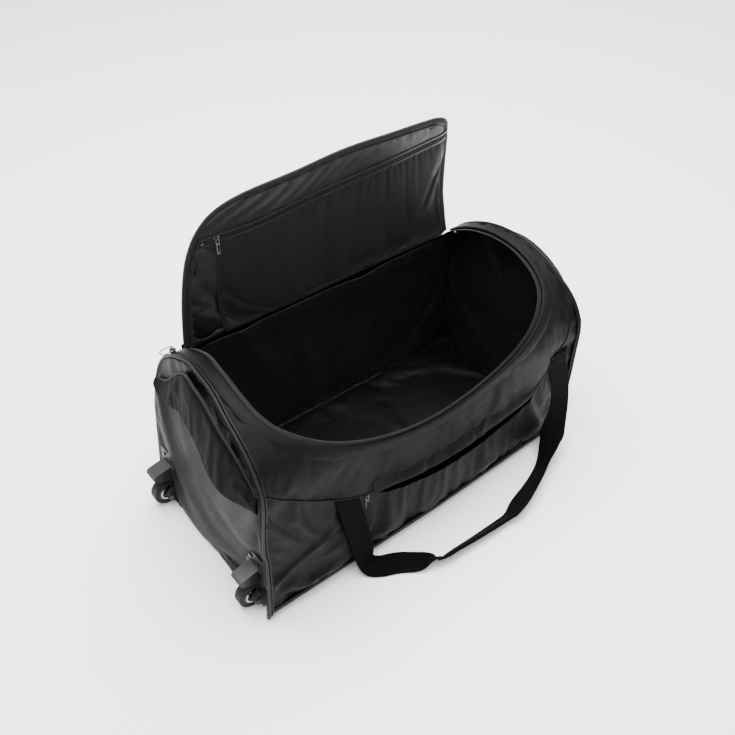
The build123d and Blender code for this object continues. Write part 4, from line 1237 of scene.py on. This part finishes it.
lid_done(sheet_piece("mesh_pocket_cloth", P, 0.0006, M_MESH, sub=1, side=-1.0, flip=False), "lid_mesh_pocket")
# binding down the free side and along the foot of the pocket
pl = [(-0.250, float(zip_r(-0.250)) - 0.010), (-0.236, 0.188), (-0.2275, 0.170), (-0.2265, 0.120), (-0.2265, 0.060), (-0.2255, 0.022), (-0.220, 0.009), (-0.206, 0.0055), (-0.10, 0.005), (0.05, 0.005), (0.18, 0.005), (0.2985, 0.005)]
pl = smooth_path(pl, 260)
tng = np.gradient(pl, axis=0); tng /= np.linalg.norm(tng, axis=1)[:, None]
wd = lid_pt(pl[:, 0] - tng[:, 1] * 0.003, pl[:, 1] + tng[:, 0] * 0.003) - lid_pt(pl[:, 0], pl[:, 1])
bnd = ribbon("bnd", lid_pt(pl[:, 0], pl[:, 1], -0.0048), wd, 0.0075, 0.0016, M_BIND)
pl2 = resample(pl, 1500)
bst = boxes_along("bst", lid_pt(pl2[:, 0], pl2[:, 1], -0.0056), -lid_n(pl2[:, 0], pl2[:, 1]), (0.0024, 0.0006, 0.0005), 0.0036, M_THREAD)
lid_done(join("mesh_pocket_edging", [bnd, bst]), "lid_pocket_binding")
zx = np.linspace(-0.262, 0.2960, 300)
zr = zip_r(zx)
wd = lid_pt(zx, zr + 0.003) - lid_pt(zx, zr)
zt = ribbon("zt", lid_pt(zx, zr, -0.0040), wd, 0.021, 0.0012, M_BIND, n_mid=8)
wl1 = ribbon("wl1", lid_pt(zx, zr + 0.0078, -0.0052), wd, 0.0060, 0.0012, M_LIDLIN)
wl2 = ribbon("wl2", lid_pt(zx, zr - 0.0078, -0.0052), wd, 0.0060, 0.0012, M_LIDLIN)
zx2 = np.linspace(-0.262, 0.2960, 1800); zr2 = zip_r(zx2)
zc = boxes_along("zc", lid_pt(zx2, zr2, -0.0046), -lid_n(zx2, zr2), (0.0011, 0.0046, 0.0015), 0.0019, M_TEETH)
stp = boxes_along("stp", lid_pt(np.array([-0.2600, -0.2560]), np.array([zip_r(-0.26)] * 2), -0.0046), -lid_n(np.array([-0.26, -0.256]), np.array([0.2145, 0.2145])), (0.0030, 0.0075, 0.0030), 0.004, M_ZIP)
lid_done(join("mesh_pocket_zip", [zt, wl1, wl2, zc, stp]), "lid_pocket_zip")
# its slider and pull
LP = (-0.230, 0.13329, 0.5515)
blk = slider_block("blk", (0, 0, 0), (0.0115, 0.0085, 0.0050), M_ZIP)
co = np.zeros(len(blk.data.vertices) * 3); blk.data.vertices.foreach_get("co", co)
co = co.reshape(-1, 3)
co = np.stack([LP[0] - co[:, 0], LP[1] + 0.0052 - co[:, 2], LP[2] + co[:, 1] + co[:, 2] * 0.1], -1)
blk.data.vertices.foreach_set("co", co.ravel()); blk.data.update()
eye = tube("eye", smooth_path([(LP[0], LP[1] + 0.0030, LP[2] + 0.0032), (LP[0], LP[1] - 0.0008, LP[2] + 0.0026), (LP[0], LP[1] - 0.0020, LP[2]), (LP[0], LP[1] - 0.0008, LP[2] - 0.0026), (LP[0], LP[1] + 0.0030, LP[2] - 0.0032)], 18), 0.0009, M_ZIP, seg=8)
done(join("mesh_pocket_slider", [blk, eye]), "lid_slider", "lid_pocket_slider")
done(pull_tab("mesh_pocket_pull", LP, 0.001, 0.031, 0.0064, 0.0018, M_ZIP), "lid_pull", "lid_pocket_pull")

# fold of cloth between the back wall and the lid
nu, nv = 110, 10
P = np.zeros((nu, nv, 3))
for i, x in enumerate(np.linspace(-0.3105, 0.3115, nu)):
    for j, t in enumerate(np.linspace(0, 1, nv)):
        if t < 0.6:
            zz = HZ - 0.020 + 0.0205 * t / 0.6
            sb = s_back(zz)
            y, z, ny, nz = prof(np.array([sb]))
            P[i, j] = (x, y[0] - ny[0] * 0.0012 * (1 - t), z[0] - nz[0] * 0.001)
        else:
            k = (t - 0.6) / 0.4
            P[i, j] = lid_pt(np.array([x]), np.array([0.001 + 0.009 * k]), 0.0022)[0]
P = cloth(P, edge_pin(nu, nv, "LRBT", 1), slack=0.05, frames_=10, cap=0.002, amp=0.0012, seed=71, wave=0.03)
fo = sheet_piece("lid_fold_cloth", P, 0.0016, M_SHELL, sub=1, side=-1.0, flip=False)
done(fo, "bag")

# ---- carrying straps: one length of webbing each, folded and stitched where it is held
S_L = [(-0.2120, -0.1836, 0.222), (-0.2110, -0.1872, 0.196), (-0.2050, -0.1920, 0.155), (-0.1980, -0.1945, 0.110), (-0.1910, -0.1975, 0.062), (-0.1850, -0.2015, 0.026), (-0.1780, -0.2075, 0.0070),
       (-0.1640, -0.2185, 0.0024), (-0.1450, -0.2330, 0.0020), (-0.1235, -0.2510, 0.0020), (-0.1010, -0.2685, 0.0026), (-0.0860, -0.2795, 0.0052), (-0.0750, -0.2885, 0.0100), (-0.0660, -0.2945, 0.0132)]
W_L = [(1, 0, 0), (1, 0, 0), (1, 0.03, 0), (1, 0.08, 0), (1, 0.16, 0.02), (0.95, 0.3, 0.02), (0.80, 0.55, 0.0), (0.66, 0.75, 0.0), (0.60, 0.80, 0.0), (0.58, 0.81, 0.0), (0.50, 0.84, -0.12), (0.30, 0.80, -0.45), (0.10, 0.62, -0.78), (0.02, 0.54, -0.84)]
D_L = [48, 48, 48, 48, 48, 48, 48, 48, 48, 48, 46, 40, 31, 26]
T_L = [2.2] * 10 + [2.4, 3.2, 4.6, 5.4]
G_C = [(-0.0340, -0.2950, 0.0128), (0.0110, -0.2965, 0.0118), (0.0540, -0.2968, 0.0108), (0.0900, -0.2966, 0.0100)]
W_G = [(0.0, 0.58, -0.81), (0.0, 0.66, -0.75), (0.02, 0.73, -0.68), (0.03, 0.79, -0.61)]
D_G = [26, 26, 26, 26]
T_G = [5.6, 5.6, 5.6, 5.4]
S_R = [(0.1030, -0.2962, 0.0105), (0.1170, -0.2942, 0.0125), (0.1445, -0.2849, 0.0158), (0.1999, -0.2657, 0.0186), (0.2480, -0.2440, 0.0225), (0.2810, -0.2260, 0.0400), (0.3050, -0.2125, 0.0620), (0.3215, -0.2030, 0.0950),
       (0.3245, -0.1965, 0.1330), (0.3180, -0.1930, 0.1720), (0.3080, -0.1897, 0.2050), (0.3020, -0.1893, 0.2480)]
W_R = [(0.02, 0.83, -0.55), (0.0, 0.80, -0.58), (-0.20, 0.76, -0.60), (-0.26, 0.62, -0.73), (-0.34, 0.50, -0.79), (-0.62, 0.40, -0.66), (-0.90, 0.30, -0.28), (-1, 0.16, -0.10), (-1, 0.06, 0), (-1, 0, 0), (-1, 0, 0), (-1, 0, 0)]
D_R = [32, 42, 48, 48, 48, 48, 48, 48, 48, 48, 48, 48]
T_R = [4.6, 3.2, 2.4] + [2.2] * 9


def strap(tag, s_, top_l, top_r):
    pts = np.array(S_L + G_C + S_R, float)
    wds = np.array(W_L + W_G + W_R, float)
    wds /= np.linalg.norm(wds, axis=1)[:, None]
    dd = np.array(D_L + D_G + D_R, float) / 1000
    tt_ = np.array(T_L + T_G + T_R, float) / 1000
    pts[0, 2] = top_l; pts[-1, 2] = top_r
    n = 420
    full = smooth_path(np.c_[pts, wds * 0.02, dd, tt_], 40 * len(pts))
    arc = np.r_[0, np.cumsum(np.linalg.norm(np.diff(full[:, :3], axis=0), axis=1))]
    k = np.linspace(0, arc[-1], n)
    f = np.stack([np.interp(k, arc, full[:, c]) for c in range(8)], -1)
    p_, w_, dw, th_ = f[:, :3].copy(), f[:, 3:6].copy(), f[:, 6], f[:, 7]
    w_ /= np.linalg.norm(w_, axis=1)[:, None]
    # it lies outside the wall where the foot of the bag spreads
    spread = np.interp(p_[:, 0], [-0.38, 0.0, 0.38], [0.0165, 0.0120, -0.0040]) * (1 - np.clip((p_[:, 2] - 0.030) / 0.19, 0, 1) ** 2 * (3 - 2 * np.clip((p_[:, 2] - 0.030) / 0.19, 0, 1)))
    fade = np.clip((p_[:, 1] + 0.255) / 0.045, 0, 1)
    p_[:, 1] -= np.maximum(spread, -0.002) * fade * fade * (3 - 2 * fade)
    # keep the lowest edge just on the ground
    low = p_[:, 2] - np.abs(w_[:, 2]) * dw / 2 - th_ * 0.5 - 0.0004
    p_[:, 2] -= np.minimum(low, 0)
    if s_ > 0:
        p_[:, 1] *= -1; w_[:, 1] *= -1
        p_ = p_[::-1]; w_ = w_[::-1]; dw = dw[::-1]; th_ = th_[::-1]
    o = ribbon("sw", p_, w_, dw, th_, M_WEB, n_mid=8, edge=5)
    fix_normals(o)
    # folded grip: a second layer over the narrow part, with two rows of stitches
    t_ = np.gradient(p_, axis=0); t_ /= np.linalg.norm(t_, axis=1)[:, None]
    w2 = w_ - t_ * (w_ * t_).sum(1)[:, None]; w2 /= np.linalg.norm(w2, axis=1)[:, None]
    nr = np.cross(t_, w2)
    g = (p_[:, 0] > -0.060) & (p_[:, 0] < 0.098) & (np.abs(p_[:, 1]) > 0.285)
    gi = np.nonzero(g)[0]
    parts = [o]
    for sgn in (-1, 1):
        c_ = p_[gi] + nr[gi] * sgn * 0.0027
        lay = ribbon("lay", c_, w2[gi], 0.0235, 0.0013, M_WEB, crown=0.0)
        fix_normals(lay)
        parts.append(lay)
        for off in (-0.0092, 0.0092):
            q_ = resample(c_ + w2[gi] * off + nr[gi] * sgn * 0.0006, 700)
            nn_ = resample(nr[gi] * sgn + np.arange(len(gi))[:, None] * 0.0, 700) if False else np.stack([np.interp(np.linspace(0, 1, 700), np.linspace(0, 1, len(gi)), (nr[gi] * sgn)[:, c]) for c in range(3)], -1)
            parts.append(boxes_along("gs", q_, nn_, (0.0026, 0.0008, 0.0006), 0.0038, M_THREAD))
    o = join(tag + "_strap_webbing", parts)
    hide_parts(tag + "_strap", tag + "_grip")
    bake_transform(o)
    PIECES.append(o)


strap("front", -1, 0.222, 0.250)
strap("back", 1, 0.240, 0.240)


# anchors: turned-in ends of the webbing with a boxed cross of stitches
def box_stitch(cx, cz, w, h, y, s_):
    out = []
    nrm = (0, s_, 0)
    segs = [((-w, -h), (w, -h)), ((w, -h), (w, h)), ((w, h), (-w, h)), ((-w, h), (-w, -h)), ((-w, -h), (w, h)), ((-w, h), (w, -h))]
    for a, b_ in segs:
        pts = [(cx + a[0] + (b_[0] - a[0]) * t, y, cz + a[1] + (b_[1] - a[1]) * t) for t in np.linspace(0, 1, 60)]
        out.append(boxes_along("bx", pts, [nrm] * 60, (0.0026, 0.0008, 0.0006), 0.0038, M_THREAD))
    return out


def anchor(tag, s_, spec):
    parts = []
    for cx, z0, z1 in spec:
        zs_ = np.linspace(z0, z1, 14)
        pts = []
        for z in zs_:
            q = prof(np.array([s_front(z) if s_ < 0 else s_back(z)]))
            pts.append((cx, q[0][0] + q[2][0] * 0.0058, q[1][0] + q[3][0] * 0.0058))
        r_ = ribbon("an", pts, np.tile((1.0, 0, 0), (14, 1)), 0.049, 0.0018, M_WEB, n_mid=8)
        fix_normals(r_)
        parts.append(r_)
        zc_, hh = (z0 + z1) / 2, (z1 - z0) / 2 - 0.004
        qm = prof(np.array([s_front(zc_) if s_ < 0 else s_back(zc_)]))
        parts += box_stitch(cx, zc_, 0.019, hh, s_ * (W / 2 + 0.0068), s_)
    o = join(tag + "_strap_anchor_pieces", parts)
    done(o, "bag", tag + "_strap_anchors")


anchor("front", -1, [(0.3025, 0.216, 0.247)])
anchor("back", 1, [(-0.2135, 0.206, 0.240), (0.299, 0.206, 0.240)])

# ---- grab bands across both ends
def grab_band(tag, side, node):
    nu, nv = (90, 22)
    ys = np.linspace(-0.1800, 0.1800, nu)
    low = np.interp(ys, [-0.190, -0.143, -0.107, -0.085, -0.056, -0.020, 0.02, 0.07, 0.115, 0.146, 0.19], [0.262, 0.258, 0.250, 0.256, 0.272, 0.297, 0.305, 0.292, 0.272, 0.264, 0.258])
    upp = np.interp(ys, [-0.190, -0.161, -0.149, -0.115, -0.08, -0.04, 0, 0.05, 0.086, 0.138, 0.19], [0.284, 0.308, 0.324, 0.354, 0.374, 0.387, 0.391, 0.384, 0.360, 0.300, 0.276])
    ker = np.ones(9) / 9
    low = np.convolve(np.pad(low, 4, "edge"), ker, "valid"); upp = np.convolve(np.pad(upp, 4, "edge"), ker, "valid")
    bow = (1 - (np.abs(ys) / 0.180) ** 2.2) * (0.019 if side < 0 else 0.022) * (1 - 0.3 * np.clip(ys / 0.12, 0, 1))
    def layer(dx, k):
        P = np.zeros((nu, nv, 3))
        for i in range(nu):
            for j, t in enumerate(np.linspace(0, 1, nv)):
                z = low[i] + (upp[i] - low[i]) * t
                base = xw(z) if side < 0 else xt(z)
                crown = math.sin(math.pi * t) ** 0.6
                lean = (t - 0.5) * 0.012 * (1 - (abs(ys[i]) / 0.18) ** 2)
                P[i, j] = (base + side * (0.0010 + bow[i] + dx + k * crown) - side * lean, ys[i], z)
        return P
    outer_ = layer(0.0035, 0.0050)
    inner_b = layer(-0.0005, -0.0018)
    outer_ = cloth(outer_, edge_pin(nu, nv, "LRBT", 1), slack=0.03, frames_=14, cap=0.0025, amp=0.0010, seed=81 + side, wave=0.05)
    o1 = sheet_piece("gb1", outer_, 0.0022, M_BAND, sub=1, side=-1.0, flip=(side > 0))
    o2 = sheet_piece("gb2", inner_b, 0.0015, M_BAND, sub=1, side=1.0, flip=(side > 0))
    parts = [o1, o2]
    for e in (0, -1):
        path = (outer_[:, e] + inner_b[:, e]) / 2
        parts.append(tube("ge", smooth_path(path[::3], 160), 0.0030, M_BIND, seg=10))
    for off in (2, nv - 3):
        q_ = outer_[:, off] + np.array([side * 0.0004, 0, 0])
        q_ = resample(q_, 900)
        parts.append(boxes_along("gst", q_, np.tile((side, 0, 0.0), (900, 1)), (0.0026, 0.0008, 0.0005), 0.0038, M_THREAD))
    o = join(tag + "_grab_band", parts)
    done(o, "bag", node)


grab_band("wheel_end", -1, "wheel_end_handle")
grab_band("tow_end", 1, "tow_end_handle")

# ---- sewn joins low on the body
parts = []
for side in (-1, 1):
    zz = 0.030
    pts = [((xw(zz) if side < 0 else xt(zz)) + side * (0.0052 - 0.004 * (abs(y) / 0.182) ** 6), y, zz) for y in np.linspace(-0.181, 0.181, 90)]
    pts = [p_ for p_ in pts if side > 0 or abs(abs(p_[1]) - 0.149) > 0.026]
    runs, cur = [], [pts[0]]
    for a, b_ in zip(pts[:-1], pts[1:]):
        if abs(b_[1] - a[1]) > 0.02:
            runs.append(cur); cur = []
        cur.append(b_)
    runs.append(cur)
    for r_ in runs:
        if len(r_) > 3:
            parts.append(tube("js", r_, 0.0013, M_SHELL, seg=8))
for s_ in (-1, 1):
    pts = body_pt(np.linspace(-0.3745, 0.3755, 160), np.full(160, (0.0250 - BR) if s_ < 0 else S5 - (0.0250 - BR)), 0.0010)
    parts.append(tube("jl", pts, 0.0014, M_SHELL, seg=8))
    nn = np.tile((0, s_, 0.0), (900, 1))
    q_ = resample(body_pt(np.linspace(-0.370, 0.371, 160), np.full(160, (0.0200 - BR) if s_ < 0 else S5 - (0.0200 - BR)), 0.0022), 900)
    parts.append(boxes_along("jst", q_, nn, (0.0026, 0.0007, 0.0005), 0.0038, M_THREAD))
done(join("body_joins", parts), "bag")
# ---- welt along the seam between the upper panel and the pocket
parts = []
sx_ = np.linspace(-0.3705, 0.3730, 300)
ss_ = np.array([s_front(float(seam_z(x))) for x in sx_])
wpath = body_pt(sx_, ss_ + 0.0015, 0.0022)
parts.append(tube("sw1", wpath, 0.0016, M_SHELL, seg=8))
for off in (0.0065, 0.0110):
    q_ = resample(body_pt(sx_, ss_ + off, 0.0019), 1800)
    y_, z_, ny_, nz_ = prof(np.interp(np.linspace(0, 1, 1800), np.linspace(0, 1, 300), ss_ + off))
    parts.append(boxes_along("sws", q_, np.stack([0 * ny_, ny_, nz_], -1), (0.0026, 0.0007, 0.0005), 0.0038, M_THREAD))
done(join("seam_welt", parts), "bag")


# ---- the way the empty bag stands: the front foot spreads, the wheel end bulges, the towing end draws in
def sm(t):
    t = np.clip(t, 0, 1)
    return t * t * (3 - 2 * t)


def stand(co):
    x, y, z = co[:, 0].copy(), co[:, 1].copy(), co[:, 2].copy()
    front = sm(-y / 0.170)
    high = sm((z - 0.118) / 0.05)
    corner = sm((-y - 0.1715) / 0.009) * 0.75
    w = sm((-x - 0.03) / 0.35)
    dx = -0.0125 * w * np.maximum(sm((-y + 0.02) / 0.12) * high, corner) + 0.010 * w * sm(y / 0.08) * sm((z - 0.20) / 0.12)
    low = np.interp(x, [0.16, 0.38], [0.0, -0.0185])
    top = np.interp(x, [0.16, 0.315, 0.345, 0.374, 0.42], [0.0, 0.0070, -0.0060, -0.0165, -0.0185])
    k = sm((z - 0.20) / 0.08)
    dx = dx + low * (1 - k) + top * k
    g = 1 - sm((z - 0.030) / 0.19)
    dy = -np.interp(x, [-0.38, 0.0, 0.38], [0.0165, 0.0120, -0.0040]) * g * np.clip(-y / 0.185, 0, 1.0)
    dz = -0.010 * sm((z - 0.28) / 0.12) * sm((x - 0.20) / 0.15) - 0.004 * sm((z - 0.30) / 0.10) * sm((-x - 0.25) / 0.10) * (1 - sm((y - 0.08) / 0.06))
    return np.stack([x + dx, y + dy, z + dz], -1)


LID_PIECES = {"lid_cloth", "lid_lining_cloth", "lid_edge_zip", "mesh_pocket_cloth", "mesh_pocket_edging", "mesh_pocket_zip", "mesh_pocket_slider", "mesh_pocket_pull", "lid_fold_cloth",
              "main_zip_slider_body", "main_zip_wire_pull", "pocket_slider_body", "pocket_pull_tab", "front_strap_webbing", "back_strap_webbing"}
for o in PIECES:
    if o.name in LID_PIECES:
        continue
    co = np.zeros(len(o.data.vertices) * 3)
    o.data.vertices.foreach_get("co", co)
    mw = np.array(o.matrix_world)
    assert np.allclose(mw, np.eye(4))
    o.data.vertices.foreach_set("co", stand(co.reshape(-1, 3)).ravel())
    o.data.update()
# ------------------------------------------------------------------ TAIL
# carried-over CAD nodes
def remat(node, mat):
    o = NODES[node]
    for sl in o.material_slots:
        sl.material = mat
    if not o.material_slots:
        o.data.materials.append(mat)


for name in ("tow_end_cloth", "wheel_end_cloth"):
    ob = bpy.data.objects[name]
    co = np.empty(len(ob.data.vertices) * 3); ob.data.vertices.foreach_get("co", co)
    co = co.reshape(-1, 3); co[:, 2] = np.maximum(co[:, 2], 0.0006 + 0.12 * np.minimum(co[:, 2], 0.0))
    ob.data.vertices.foreach_set("co", co.ravel()); ob.data.update()
for t in ("front", "back"):
    remat(t + "_wheel_housing", M_HOUS); remat(t + "_tyre", M_TYRE); remat(t + "_wheel_hub", M_HUB)
    remat(t + "_wheel_ring", M_RING); remat(t + "_wheel_bush", M_NYLON); remat(t + "_axle", M_STEEL)
remat("housing_rivets", M_STEEL); remat("base_board", M_BOARD)

# ------------------------------------------------------------------ floor and light
floor = obj_from("floor", [(-6, -6, 0), (6, -6, 0), (6, 6, 0), (-6, 6, 0)], [(0, 1, 2, 3)], smooth=False)
fm, fnt, fbs = new_mat("floor_paint")
fbs.inputs["Base Color"].default_value = (0.975, 0.975, 0.975, 1)
fbs.inputs["Roughness"].default_value = 0.9
fbs.inputs["Specular IOR Level"].default_value = 0.1
floor.data.materials.append(fm)
floor.location.z = -0.0005


def area(name, loc, target, size, energy, col=(1, 1, 1)):
    l = bpy.data.lights.new(name, "AREA")
    l.shape = "RECTANGLE"
    l.size, l.size_y = size
    l.energy = energy
    l.color = col
    o = bpy.data.objects.new(name, l)
    coll.objects.link(o)
    o.location = loc
    d = Vector(target) - Vector(loc)
    o.rotation_euler = d.to_track_quat("-Z", "Y").to_euler()
    return o


area("key", (-0.4, -1.6, 3.2), (0, 0, 0.2), (2.4, 1.6), 46)
area("top", (0.1, 0.5, 3.0), (0, 0.05, 0.0), (3.2, 2.6), 330)
area("fill", (-3.0, -0.2, 1.8), (0, 0, 0.2), (2.0, 2.0), 12)
area("rim", (2.6, 1.6, 2.6), (0, 0, 0.3), (2.0, 1.6), 40)
world = bpy.data.worlds.new("world")
scene.world = world
world.use_nodes = True
world.node_tree.nodes["Background"].inputs[0].default_value = (0.95, 0.96, 1.0, 1)
world.node_tree.nodes["Background"].inputs[1].default_value = 1.15
